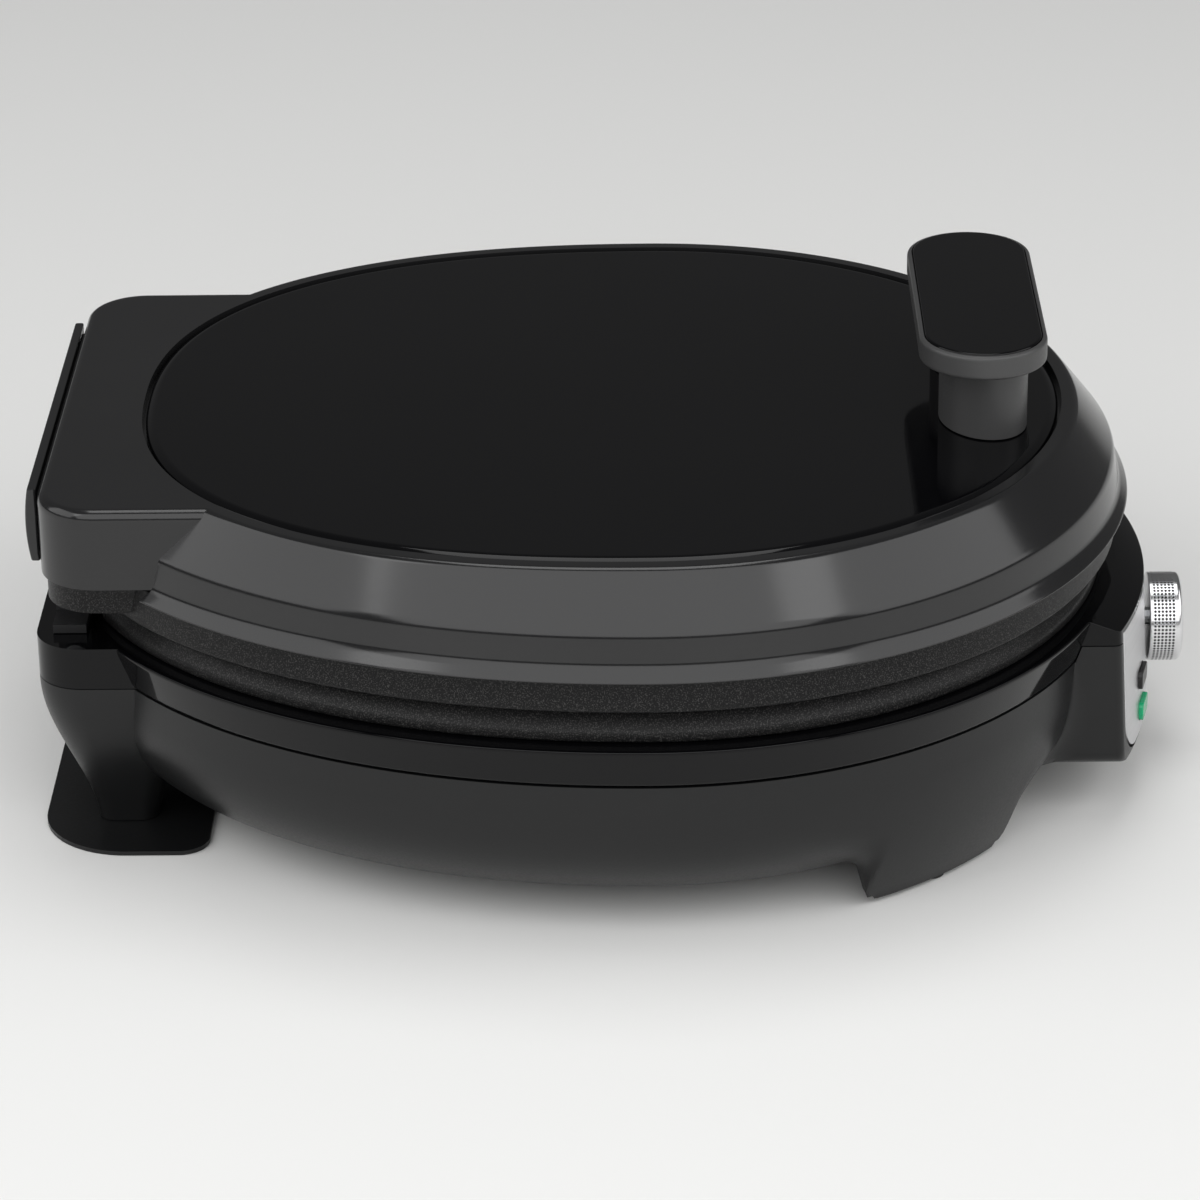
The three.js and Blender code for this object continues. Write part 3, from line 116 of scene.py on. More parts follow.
# Handle
HANDLE_LENGTH = 119.5 * MM
HANDLE_WIDTH = 42.5 * MM
HANDLE_CENTRE = 111.5 * MM
HANDLE_LIFT = 27.0 * MM
HANDLE_THICKNESS = 8.4 * MM
HANDLE_BEVEL = 0.8 * MM
INLAY_INSET = 1.5 * MM
INLAY_DEPTH = 2.0 * MM
INLAY_RISE = 0.5 * MM
HANDLE_STEPS = 40
POST_HALF = (19.2 * MM, 14.2 * MM)
POST_SPREAD = 27.4 * MM
POST_CENTRE = 112.6 * MM
POST_TURN = radians(16)
POST_STEPS = 96

# Plates
PLATE_REAR = 184.0 * MM
PLATE_NOTCH_HALF = 68.0 * MM
PLATE_THICKNESS = 3.0 * MM
UPPER_RIM = 86.0 * MM
UPPER_RIM_OFFSET = 14.0 * MM
UPPER_RIDGE = 88.4 * MM
UPPER_RIDGE_OFFSET = 23.4 * MM
UPPER_WALL_TOP = 101.4 * MM
UPPER_WALL_OFFSET = 21.4 * MM
UPPER_RECESS_OFFSET = 9.6 * MM
UPPER_BACK_OFFSET = 18.0 * MM
COOK_TOP = 95.0 * MM
LOBE_HALF = 88.0 * MM
LOBE_REAR = 200.0 * MM
LOBE_CORNER = 18.0 * MM
LOBE_LEVEL = 91.0 * MM
LOWER_FLANGE_OFFSET = 18.4 * MM
LOWER_FLANGE_TOP = 78.7 * MM
LOWER_RIM = 85.7 * MM
LOWER_RIM_OFFSET = 13.0 * MM
LOWER_RECESS_OFFSET = 9.5 * MM
LOWER_PAN_OFFSET = 10.5 * MM
LOWER_PAN_TAPER = 6.0 * MM
RECESS_SLOPE = 3.5 * MM
COOK_FLOOR = 71.0 * MM

# Base trim ring
TRIM_TOP_OFFSET = 24.9 * MM
BOWL_OFFSET = 20.3 * MM
TRIM_WALL = 2.5 * MM
PAN_CLEARANCE = 1.0 * MM
BASE_BLOCK_HALF = 82.0 * MM
BASE_BLOCK_REAR = 205.4 * MM
BASE_BLOCK_CORNER = 16.0 * MM
BLOCK_FLOOR_DROP = 11.0 * MM

# Control panel and its housing, whose sides run into the bowl with a hollow blend
PANEL_RADIUS = 172.3 * MM
PANEL_LEAN = 1.3 * MM
HOUSING_HALF = 67.0 * MM
HOUSING_CLEARANCE = 20.3 * MM
PANEL_HALF = 63.6 * MM
PANEL_FOOT = 22.0 * MM
PANEL_TOP = 69.0 * MM
PANEL_CORNER = 12.0 * MM
PANEL_THICKNESS = 1.2 * MM
PANEL_TRIM_LEVEL = 66.0 * MM
PANEL_STEPS = 64
HOUSING_CORNER = 3.0 * MM
HOUSING_SIDE_ROUNDING = 6.0 * MM
HOUSING_FRONT_ROUNDING = 1.0 * MM
BLEND_FOOT = 22.0 * MM
BLEND_HEAD = 1.2 * MM
BLEND_DEPTH = 3.0 * MM
BLEND_STEPS = 16
PANEL_SEAM = 0.8 * MM
CRESCENT_FALL = 4.0 * MM
CRESCENT_MARGIN = radians(2)
CREST_EDGE = 0.8 * MM

# Bowl and front legs
BOWL_WALL = 2.5 * MM
BOWL_ROUNDING = 42.0 * MM
BOWL_STEPS = 28
BOWL_FLOOR_INLAND = -90.0 * MM
LEG_PULL_RISE = 30.0 * MM
LEG_FOOT_OFFSET = 7.7 * MM
LEG_FOOT_THICKNESS = 12.0 * MM
LEG_FOOT_RISE = 1.5 * MM
LEG_FOOT_CORNER = 2.0 * MM
LEG_MIDDLE = radians(48.0)

# Edges of the front legs: level, the turns from the front at which they start and end, and how softly
LEG_EDGES = (
    (1.5 * MM, radians(37.4), radians(59.8), radians(0.6)),
    (2.6 * MM, radians(36.2), radians(61.2), radians(0.6)),
    (5.0 * MM, radians(35.0), radians(62.1), radians(0.8)),
    (12.0 * MM, radians(34.4), radians(62.6), radians(1.6)),
    (20.0 * MM, radians(33.0), radians(63.2), radians(3.2)),
    (30.0 * MM, radians(28.5), radians(65.5), radians(6.0)),
    (46.0 * MM, radians(20.0), radians(72.0), radians(9.0)),
)

# Rear legs: width, depth, corner, x and y at the foot and at the top, and the levels between
REAR_LEG_FOOT = (22.0 * MM, 20.0 * MM, 6.0 * MM, 53.0 * MM, 179.0 * MM)
REAR_LEG_TOP = (40.0 * MM, 56.0 * MM, 16.0 * MM, 62.0 * MM, 177.4 * MM)
REAR_LEG_SWELL = (-2.0 * MM, 59.0 * MM)
REAR_LEG_RISE = 1.8 * MM
REAR_LEG_STEPS = 24

# Knob and lenses
KNOB_RISE = 45.8 * MM
KNOB_RADIUS = 15.5 * MM
KNOB_LENGTH = 12.4 * MM
KNOB_STAND_OFF = 1.1 * MM
KNOB_BAND = 1.1 * MM
KNOB_CHAMFER = 1.8 * MM
KNOB_DOME = 0.8 * MM
KNOB_BASE_EDGE = 0.3 * MM
KNOB_BORE = 8.0 * MM
KNURL_LENGTH = 7.7 * MM
KNURL_DEPTH = 0.2 * MM
KNOB_STEPS = 128
KNURL_ROWS = 6
KNURL_COUNT = 75
SHAFT_RADIUS = 3.0 * MM
RUNNING_GAP = 0.6 * MM
LENS_SIZE = (12.0 * MM, 6.5 * MM)
LENS_CORNER = 2.0 * MM
LENS_RISE = 1.4 * MM
LENS_OFFSET = 39.0 * MM
POWER_LENS_RISE = 41.7 * MM
READY_LENS_RISE = 30.0 * MM

# The plan's centre in the frame, from the lid's foremost point
PLAN_CENTRE_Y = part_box("lid_housing")[0][1] + BODY_RADIUS + EDGE_OFFSET

# Camera: its place from the plan's centre on the ground, and its right, up and back directions
CAMERA_PLACE = (-1491.1 * MM, -1.5 * MM, 742.4 * MM)
CAMERA_RIGHT = (0.0068, -0.9999, -0.0127)
CAMERA_UP = (0.4194, -0.0087, 0.9077)
CAMERA_BACK = (-0.9078, -0.0115, 0.4193)
CAMERA_LENS = 141.0
CAMERA_SENSOR = 36.0
CAMERA_REACH = 50.0

# Soft lamps: name, place, size in metres and power in watts, all aimed at the object's middle
LAMP_TARGET = (0.0, 0.0, 0.07)
LAMPS = (
    ("key", (-1.65, 0.0, 1.35), (3.2, 2.2), 39.0),
    ("rear", (-0.6, 2.05, 1.4), (2.4, 2.1), 26.0),
    ("front", (-0.6, -2.05, 1.4), (2.4, 2.1), 26.0),
    ("top", (0.35, 0.0, 2.7), (1.3, 1.6), 18.0),
)
WORLD_STRENGTH = 0.12

# Floor, a little below the object's feet
FLOOR_HALF = 8.0
FLOOR_DROP = 0.2 * MM
FLOOR_COLOUR = (0.82, 0.82, 0.81, 1.0)
FLOOR_ROUGHNESS = 0.6

# Looks: scales of the noise are per metre, and edges are the values between which a range rises
NOISE_EDGES = (0.3, 0.7)
DRIFT_SCALE = 14.0
ROUGHNESS_VARY = 0.12
COAT_ROUGHNESS = 0.03
BUMP_DEPTH = 0.2 * MM
SPECK_SCALE = 2400.0
SPECK_EDGES = (0.56, 0.64)
SPECK_GROUND = (0.0025, 0.0025, 0.0028, 1.0)
SPECK_COLOUR = (0.04, 0.039, 0.038, 1.0)
SPECK_BUMP = 0.25
SPECK_ROUGHNESS = (0.44, 0.34)
SPECK_SHINE = 0.22
DIMPLE_EDGES = (0.40, 0.26)
DIMPLE_BUMP = 0.5
DIMPLE_DEPTH = 0.3 * MM
# Painted shade: the dimples are coloured dark to stand for the shade that falls inside them
DIMPLE_SHADE_COLOUR = (0.03, 0.03, 0.032, 1.0)
CHROME_COLOUR = (0.74, 0.74, 0.75, 1.0)
CHROME_GRAIN = 400.0
CHROME_ROUGHNESS = (0.14, 0.22)
LENS_GRAIN = 300.0
LENS_TINT = (0.85, 1.15)
LENS_ROUGHNESS_RISE = 1.4


# Rings: closed loops of points, stacked into solids
def plan_ring(plan, offset, level, steps=PLAN_STEPS):
    """Ring of the body's plan, a given distance outside the body radius."""
    side, rear, power = BODY_RADIUS + offset, plan[0] + offset, 2.0 / plan[1]
    ring = []
    for step in range(steps):
        turn = 2.0 * pi * step / steps
        across, along = cos(turn), sin(turn)
        if along < 0.0:
            ring.append(Vector((side * across, side * along, level)))
        else:
            x = side * copysign(abs(across) ** power, across)
            ring.append(Vector((x, rear * along**power, level)))
    return ring


def flat_ring(points, level):
    return [Vector((x, y, level)) for x, y in points]


def arc_points(centre, radius, start, end, steps):
    points = []
    for step in range(steps + 1):
        turn = start + (end - start) * step / steps
        points.append((centre[0] + radius * cos(turn), centre[1] + radius * sin(turn)))
    return points


def circle_points(radius, steps):
    return arc_points((0.0, 0.0), radius, 0.0, 2.0 * pi * (1.0 - 1.0 / steps), steps - 1)


def block_points(half, front, rear, corner):
    """Outline of a block: square in front, rounded at its rear corners."""
    points = [(-half, front), (half, front)]
    points += arc_points((half - corner, rear - corner), corner, 0.0, pi / 2, ARC_STEPS)
    points += arc_points((corner - half, rear - corner), corner, pi / 2, pi, ARC_STEPS)
    return points


def rounded_points(width, depth, corner, centre=(0.0, 0.0), steps=ARC_STEPS):
    """Outline of a rectangle with rounded corners."""
    x, y = width / 2 - corner, depth / 2 - corner
    points = []
    for side_x, side_y, start in ((x, -y, -pi / 2), (x, y, 0.0), (-x, y, pi / 2), (-x, -y, pi)):
        middle = (centre[0] + side_x, centre[1] + side_y)
        points += arc_points(middle, corner, start, start + pi / 2, steps)
    return points


def panel_points(half, radius, back):
    """Outline with flat sides, a straight back and a curved front."""
    side_turn = asin(half / radius)
    points = [(half, -back), (-half, -back)]
    return points + arc_points((0.0, 0.0), radius, -pi / 2 - side_turn, -pi / 2 + side_turn, PANEL_STEPS)


def bent(start, pull, end, t):
    """Point on the curve from start to end that is pulled toward a third point."""
    return start * (1 - t) ** 2 + pull * (2 * t * (1 - t)) + end * (t * t)


def soften(rings, radius):
    """Rounds the bend at each ring between the first and the last."""
    out = [rings[0]]
    for before, here, after in zip(rings, rings[1:], rings[2:]):
        starts, ends = [], []
        for p, q, r in zip(before, here, after):
            starts.append(q + (p - q) * min(radius / (p - q).length, SOFT_SHARE))
            ends.append(q + (r - q) * min(radius / (r - q).length, SOFT_SHARE))
        for step in range(SOFT_STEPS + 1):
            t = step / SOFT_STEPS
            out.append([bent(a, b, c, t) for a, b, c in zip(starts, here, ends)])
    out.append(rings[-1])
    return out


# Solids
def solid(points, faces):
    """Object made of a closed mesh, with its faces turned outward."""
    mesh = bpy.data.meshes.new("solid")
    mesh.from_pydata(points, [], faces)
    graph = bmesh.new()
    graph.from_mesh(mesh)
    bmesh.ops.recalc_face_normals(graph, faces=graph.faces)
    graph.to_mesh(mesh)
    graph.free()
    piece = bpy.data.objects.new("solid", mesh)
    bpy.context.collection.objects.link(piece)
    return piece


def loft(rings):
    """Closed solid through rings of equal count, capped at both ends."""
    count = len(rings[0])
    top = (len(rings) - 1) * count
    faces = [tuple(reversed(range(count))), tuple(range(top, top + count))]
    for level in range(len(rings) - 1):
        for i in range(count):
            a = level * count + i
            b = level * count + (i + 1) % count
            faces.append((a, b, b + count, a + count))
    return solid([p for ring in rings for p in ring], faces)


def plan_loft(rows, radius=0.0):
    rings = [plan_ring(*row) for row in rows]
    return loft(soften(rings, radius) if radius else rings)


def prism(points, low, high):
    return loft([flat_ring(points, low), flat_ring(points, high)])


def slab(half, front, rear, low, high):
    return prism([(-half, front), (half, front), (half, rear), (-half, rear)], low, high)


def cylinder(radius, low, high):
    return prism(circle_points(radius, ROUND_STEPS), low, high)


def moved(piece, matrix):
    piece.data.transform(matrix)
    return piece


def toward_front(piece, level=0.0):
    """Turns a solid that was drawn along +Z so that it points to the front."""
    return moved(piece, Matrix.Translation((0.0, 0.0, level)) @ Matrix.Rotation(pi / 2, 4, "X"))


def settle(piece):
    """Turns the piece's modifiers into its mesh."""
    graph = bpy.context.evaluated_depsgraph_get()
    mesh = bpy.data.meshes.new_from_object(piece.evaluated_get(graph))
    piece.modifiers.clear()
    piece.data = mesh
    return piece


def combine(piece, tools, operation):
    """Changes the piece by each tool in turn, and uses the tools up."""
    for tool in tools:
        modifier = piece.modifiers.new("combine", "BOOLEAN")
        modifier.operation = operation
        modifier.solver = "MANIFOLD"
        modifier.object = tool
    settle(piece)
    for tool in tools:
        bpy.data.objects.remove(tool)
    return piece


def join(piece, *tools):
    return combine(piece, tools, "UNION")


def cut(piece, *tools):
    return combine(piece, tools, "DIFFERENCE")


def keep(piece, *tools):
    return combine(piece, tools, "INTERSECT")


def smooth(piece):
    """Shades the piece smooth, apart from its sharp edges."""
    graph = bmesh.new()
    graph.from_mesh(piece.data)
    for face in graph.faces:
        face.smooth = True
    for edge in graph.edges:
        edge.smooth = len(edge.link_faces) == 2 and edge.calc_face_angle(pi) < SMOOTH_LIMIT
    graph.to_mesh(piece.data)
    graph.free()
    modifier = piece.modifiers.new("normals", "WEIGHTED_NORMAL")
    modifier.keep_sharp = True


def round_edges(piece, width):
    modifier = piece.modifiers.new("edges", "BEVEL")
    modifier.width = width
    modifier.segments = EDGE_SEGMENTS
    modifier.limit_method = "ANGLE"
    modifier.angle_limit = EDGE_LIMIT
    return settle(piece)


def finish(piece, name, body, nodes, slot, edge):
    """Shifts a solid into the frame, rounds its edges and lets it stand for its nodes."""
    piece.name = name
    piece.data.transform(Matrix.Translation((0.0, PLAN_CENTRE_Y, 0.0)))
    if edge:
        round_edges(piece, edge)
    smooth(piece)
    piece.data.materials.clear()
    piece.data.materials.append(MATERIALS[slot])
    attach(piece, body)
    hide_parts(*nodes)


# Lid
def lid_block():
    """Squared block behind the lid's round body."""
    def ring(inset, level):
        return flat_ring(block_points(
            LID_BLOCK_HALF - inset, BLOCK_FRONT, LID_BLOCK_REAR - inset, LID_BLOCK_CORNER - inset
        ), level)

    return loft(soften([
        ring(0.0, LID_RIDGE),
        ring(0.0, LID_TOP - LID_BLOCK_BEVEL),
        ring(LID_BLOCK_BEVEL, LID_TOP),
        ring(LID_BLOCK_BEVEL + INLAND, LID_TOP),
    ], LID_BLOCK_BEVEL))


def lid_cavities(beyond, top):
    """Rooms inside the lid's round body and its block, under a deck."""
    cavity = plan_loft([
        (RIM_PLAN, EDGE_OFFSET - LID_WALL + LID_LIP_FLARE, LID_EDGE - OVERRUN),
        (RIM_PLAN, RIDGE_OFFSET - LID_WALL, LID_RIDGE),
        (RIM_PLAN, CONE_OFFSET - LID_WALL, LID_CONE - LID_WALL),
        (DISC_PLAN, LIP_OUTER - LID_WALL, top),
    ])
    rear = LID_BLOCK_REAR - LID_WALL
    below = LID_EDGE - OVERRUN - OVERRUN
    block_plan = block_points(LID_BLOCK_HALF - LID_WALL, BLOCK_FRONT, rear, LID_BLOCK_CORNER - LID_WALL)
    return (
        cut(cavity, slab(2.0 * BODY_RADIUS, rear, beyond, below, LID_TOP)),
        prism(block_plan, LID_RIDGE - OVERRUN, top),
    )


def lid_housing():
    shell = plan_loft([
        (RIM_PLAN, EDGE_OFFSET - INLAND, LID_EDGE),
        (RIM_PLAN, EDGE_OFFSET, LID_EDGE),
        (RIM_PLAN, RIDGE_OFFSET, LID_RIDGE),
        (RIM_PLAN, CONE_OFFSET, LID_CONE),
        (DISC_PLAN, LIP_OUTER, LID_TOP),
        (DISC_PLAN, LIP_OUTER - INLAND, LID_TOP),
    ], LID_SOFT_EDGE)
    beyond = LID_BLOCK_REAR + BODY_RADIUS
    flare_cut = slab(LID_BLOCK_HALF, BLOCK_FRONT, beyond, LID_EDGE - OVERRUN, LID_RIDGE)
    rear_cut = slab(LID_BLOCK_HALF, LID_BLOCK_REAR, beyond, LID_RIDGE - OVERRUN, LID_TOP + OVERRUN)
    outer = cut(join(shell, lid_block()), flare_cut, rear_cut)
    deck_top = LID_TOP - DISC_THICKNESS - SEAT_GAP
    recess = plan_loft([(DISC_PLAN, LIP_INNER, deck_top), (DISC_PLAN, LIP_INNER, LID_TOP + OVERRUN)])
    return cut(outer, *lid_cavities(beyond, deck_top - DECK_THICKNESS), recess)


def lid_disc():
    underside = LID_TOP - DISC_THICKNESS
    return plan_loft([
        (DISC_PLAN, DISC_EDGE - INLAND, underside),
        (DISC_PLAN, DISC_EDGE, underside),
        (DISC_PLAN, DISC_EDGE, LID_TOP - DISC_BEVEL_DROP),
        (DISC_PLAN, 0.0, LID_TOP),
        (DISC_PLAN, -INLAND, LID_TOP),
    ], SOFT_EDGE)


def lid_rear_cover():
    """Cover with a slightly bulging rear, on a rib that reaches forward to the lid."""
    front = LID_BLOCK_REAR + COVER_GAP
    top = LID_TOP - COVER_TOP_INSET
    rows = []
    for step in range(ARC_STEPS + 1):
        share = step / ARC_STEPS
        level = LID_RIDGE + (top - LID_RIDGE) * share
        rear = front + COVER_THICKNESS + COVER_BULGE * 4.0 * share * (1.0 - share)
        depth = rear - front
        rows.append(flat_ring(rounded_points(
            2.0 * COVER_HALF, depth, SOFT_EDGE, (0.0, (front + rear) / 2)
        ), level))
    rib = slab(
        COVER_HALF - INLAND, LID_BLOCK_REAR + SEAT_GAP, front + SOFT_EDGE,
        LID_RIDGE + INLAND, top - INLAND,
    )
    return join(loft(rows), rib)


def handle_ring(inset, level):
    return flat_ring(rounded_points(
        HANDLE_LENGTH - 2.0 * inset, HANDLE_WIDTH - 2.0 * inset, HANDLE_WIDTH / 2 - inset,
        (0.0, -HANDLE_CENTRE), HANDLE_STEPS,
    ), level)


def handle_bar():
    bottom = LID_TOP + HANDLE_LIFT
    top = bottom + HANDLE_THICKNESS
    bar = loft(soften([
        handle_ring(HANDLE_BEVEL + INLAND, bottom),
        handle_ring(HANDLE_BEVEL, bottom),
        handle_ring(0.0, bottom + HANDLE_BEVEL),
        handle_ring(0.0, top - HANDLE_BEVEL),
        handle_ring(HANDLE_BEVEL, top),
        handle_ring(HANDLE_BEVEL + INLAND, top),
    ], HANDLE_BEVEL))
    pocket = loft([handle_ring(INLAY_INSET, top - INLAY_DEPTH), handle_ring(INLAY_INSET, top + OVERRUN)])
    return cut(bar, pocket)


def handle_inlay():
    top = LID_TOP + HANDLE_LIFT + HANDLE_THICKNESS
    inset = INLAY_INSET + SEAT_GAP
    return loft(soften([
        handle_ring(inset + INLAND, top - INLAY_DEPTH + SEAT_GAP),
        handle_ring(inset, top - INLAY_DEPTH + SEAT_GAP),
        handle_ring(inset, top),
        handle_ring(inset + INLAY_RISE, top + INLAY_RISE),
        handle_ring(inset + INLAND, top + INLAY_RISE),
    ], INLAY_RISE))


def handle_post(side):
    """Oval post, turned a little about its own upright axis."""
    bottom = LID_TOP + SEAT_GAP
    top = LID_TOP + HANDLE_LIFT - SEAT_GAP
    rings = []
    for inset, level in ((INLAND, bottom), (0.0, bottom), (0.0, top), (INLAND, top)):
        ring = []
        for step in range(POST_STEPS):
            turn = 2.0 * pi * step / POST_STEPS
            x = (POST_HALF[0] - inset) * cos(turn)
            y = (POST_HALF[1] - inset) * sin(turn)
            ring.append(Vector((
                side * (POST_SPREAD - x * cos(POST_TURN) + y * sin(POST_TURN)),
                x * sin(POST_TURN) + y * cos(POST_TURN) - POST_CENTRE,
                level,
            )))
        rings.append(ring)
    return loft(soften(rings, CRISP_EDGE))


# Plates
def plate_notch(low, high):
    return slab(PLATE_NOTCH_HALF, PLATE_REAR, PLATE_REAR + BODY_RADIUS, low, high)


def upper_plate():
    body = plan_loft([
        (RIM_PLAN, UPPER_RIM_OFFSET - INLAND, UPPER_RIM),
        (RIM_PLAN, UPPER_RIM_OFFSET, UPPER_RIM),
        (RIM_PLAN, UPPER_RIDGE_OFFSET, UPPER_RIDGE),
        (RIM_PLAN, UPPER_WALL_OFFSET, UPPER_WALL_TOP),
        (RIM_PLAN, UPPER_WALL_OFFSET - INLAND, UPPER_WALL_TOP),
    ], SOFT_EDGE)
    lobe_plan = block_points(LOBE_HALF, BLOCK_FRONT + BODY_RADIUS / 2, LOBE_REAR, LOBE_CORNER)
    lobes = prism(lobe_plan, LOBE_LEVEL, UPPER_WALL_TOP)
    recess = plan_loft([
        (PAN_PLAN, UPPER_RECESS_OFFSET, UPPER_RIM - OVERRUN),
        (PAN_PLAN, UPPER_RECESS_OFFSET, UPPER_RIM),
        (PAN_PLAN, UPPER_RECESS_OFFSET - RECESS_SLOPE, COOK_TOP),
        (PAN_PLAN, UPPER_RECESS_OFFSET - RECESS_SLOPE - INLAND, COOK_TOP),
    ], SOFT_EDGE)
    back = COOK_TOP + PLATE_THICKNESS
    back_recess = plan_loft([
        (PAN_PLAN, UPPER_BACK_OFFSET, back), (PAN_PLAN, UPPER_BACK_OFFSET, UPPER_WALL_TOP + OVERRUN),
    ])
    notch = plate_notch(UPPER_RIM - OVERRUN, UPPER_WALL_TOP + OVERRUN)
    return cut(join(body, lobes), recess, back_recess, notch)


def lower_plate():
    bottom = COOK_FLOOR - PLATE_THICKNESS
    flange = TRIM_TOP + SEAT_GAP
    body = plan_loft([
        (PAN_PLAN, LOWER_PAN_OFFSET - LOWER_PAN_TAPER, bottom),
        (PAN_PLAN, LOWER_PAN_OFFSET, bottom + LOWER_PAN_TAPER),
        (PAN_PLAN, LOWER_PAN_OFFSET, flange),
        (RIM_PLAN, LOWER_FLANGE_OFFSET, flange),
        (RIM_PLAN, LOWER_FLANGE_OFFSET, LOWER_FLANGE_TOP),
        (RIM_PLAN, LOWER_RIM_OFFSET, LOWER_RIM),
        (RIM_PLAN, LOWER_RIM_OFFSET - INLAND, LOWER_RIM),
    ], SOFT_EDGE)
    recess = plan_loft([
        (PAN_PLAN, LOWER_RECESS_OFFSET - RECESS_SLOPE - PLATE_THICKNESS - INLAND, COOK_FLOOR),
        (PAN_PLAN, LOWER_RECESS_OFFSET - RECESS_SLOPE - PLATE_THICKNESS, COOK_FLOOR),
        (PAN_PLAN, LOWER_RECESS_OFFSET - RECESS_SLOPE, COOK_FLOOR + RECESS_SLOPE),
        (PAN_PLAN, LOWER_RECESS_OFFSET, LOWER_RIM),
        (PAN_PLAN, LOWER_RECESS_OFFSET, LOWER_RIM + OVERRUN),
    ], SOFT_EDGE)
    return cut(body, recess, plate_notch(bottom - OVERRUN, LOWER_RIM + OVERRUN))


# Control panel, drawn on a front that leans out toward its foot
def panel_radius_at(level):
    return PANEL_RADIUS + PANEL_LEAN * (KNOB_RISE - level) / (KNOB_RISE - HOUSING_CLEARANCE)


def leaning_body(half, set_back, back, low, high):
    """Solid whose front follows the panel's lean, set back from it."""
    return loft([
        flat_ring(panel_points(half, panel_radius_at(level) - set_back, back), level)
        for level in (low, high)
    ])


def housing_points(half, radius, back):
    """Outline of the housing: flat sides, a curved front and rounded corners between them."""
    across = half - HOUSING_CORNER
    reach = radius - HOUSING_CORNER
    deep = sqrt(reach**2 - across**2)
    turn = asin(deep / reach)
    points = [(half, -back), (-half, -back)]
    points += arc_points((-across, -deep), HOUSING_CORNER, pi, pi + turn, ARC_STEPS)
    points += arc_points((0.0, 0.0), radius, pi + turn, 2.0 * pi - turn, PANEL_STEPS)
    points += arc_points((across, -deep), HOUSING_CORNER, 2.0 * pi - turn, 2.0 * pi, ARC_STEPS)
    return points


def housing_body(top):
    """Housing behind the panel, rounded along its foot."""
    rings = []
    for step in range(ARC_STEPS + 1):
        turn = pi / 2 * step / ARC_STEPS
        level = HOUSING_CLEARANCE + HOUSING_SIDE_ROUNDING * (1.0 - sin(turn))
        half = HOUSING_HALF - HOUSING_SIDE_ROUNDING * (1.0 - cos(turn))
        radius = panel_radius_at(level) - HOUSING_FRONT_ROUNDING * (1.0 - cos(turn))
        rings.append(flat_ring(housing_points(half, radius, BODY_RADIUS), level))
    rings.reverse()
    rings.append(flat_ring(housing_points(HOUSING_HALF, panel_radius_at(top), BODY_RADIUS), top))
    return loft(rings)


def bowl_radius_at(level):
    """Radius of the bowl's outside in front, at a level."""
    drop = max(0.0, BOWL_CLEARANCE + BOWL_ROUNDING - level)
    return BODY_RADIUS + BOWL_OFFSET - BOWL_ROUNDING + sqrt(BOWL_ROUNDING**2 - drop**2)


def housing_blend(side, top):
    """Hollow blend from the bowl to the housing's side, widest at the foot."""
    rings = []
    for step in range(BLEND_STEPS + 1):
        level = HOUSING_CLEARANCE + (top - HOUSING_CLEARANCE) * step / BLEND_STEPS
        drop = min(HOUSING_SIDE_ROUNDING, max(0.0, HOUSING_CLEARANCE + HOUSING_SIDE_ROUNDING - level))
        half = HOUSING_HALF - HOUSING_SIDE_ROUNDING + sqrt(HOUSING_SIDE_ROUNDING**2 - drop**2)
        hollow = BLEND_HEAD + (BLEND_FOOT - BLEND_HEAD) * (top - level) / (top - HOUSING_CLEARANCE)
        bowl = bowl_radius_at(level)
        across = half + hollow
        deep = sqrt((bowl + hollow)**2 - across**2)
        points = arc_points((across, -deep), hollow, pi, pi - acos(across / (bowl + hollow)), ARC_STEPS)
        inward = 1.0 - BLEND_DEPTH / bowl
        points.append((points[-1][0] * inward, points[-1][1] * inward))
        points.append((half - BLEND_DEPTH, BLEND_DEPTH - sqrt(bowl**2 - half**2)))
        points.append((half - BLEND_DEPTH, -deep))
        if side < 0.0:
            points = [(-x, y) for x, y in reversed(points)]
        rings.append(flat_ring(points, level))
    return loft(rings)


def panel_face(grow, top):
    """Front view of the panel, rounded at its lower corners, as a solid from front to back."""
    half, corner = PANEL_HALF + grow, PANEL_CORNER + grow
    bend = PANEL_FOOT - grow + corner
    points = [(half, top), (-half, top)]
    points += arc_points((corner - half, bend), corner, pi, 3.0 * pi / 2, ARC_STEPS)
    points += arc_points((half - corner, bend), corner, 3.0 * pi / 2, 2.0 * pi, ARC_STEPS)
    return toward_front(prism(points, BLOCK_FRONT, PANEL_RADIUS + PANEL_LEAN + OVERRUN))


def panel_layer(grow, proud, depth, top):
    """Layer inside the panel's front view, from its front, or proud of it, down to a depth."""
    wide, foot = PANEL_HALF + grow + OVERRUN, PANEL_FOOT - grow - OVERRUN
    front = leaning_body(wide, -proud, BODY_RADIUS, foot, top)
    back = leaning_body(wide + OVERRUN, depth, BLOCK_FRONT, foot - OVERRUN, top + OVERRUN)
    return keep(cut(front, back), panel_face(grow, top + OVERRUN))


def lens_body(inset, start, end, rise):
    """Rounded block between two radii, turned to the lenses' place beside the knob."""
    width, height = (size - 2.0 * inset for size in LENS_SIZE)
    outline = rounded_points(width, height, LENS_CORNER - inset)
    turn = Matrix.Rotation(-asin(LENS_OFFSET / PANEL_RADIUS), 4, "Z")
    return moved(toward_front(prism(outline, start, end), rise), turn)


def lens_holes(start):
    return [
        lens_body(-SEAT_GAP, start, PANEL_RADIUS + OVERRUN, rise)
        for rise in (POWER_LENS_RISE, READY_LENS_RISE)
    ]


def shaft_hole():
    hole = cylinder(SHAFT_RADIUS + RUNNING_GAP, BODY_RADIUS, PANEL_RADIUS + OVERRUN)
    return toward_front(hole, KNOB_RISE)


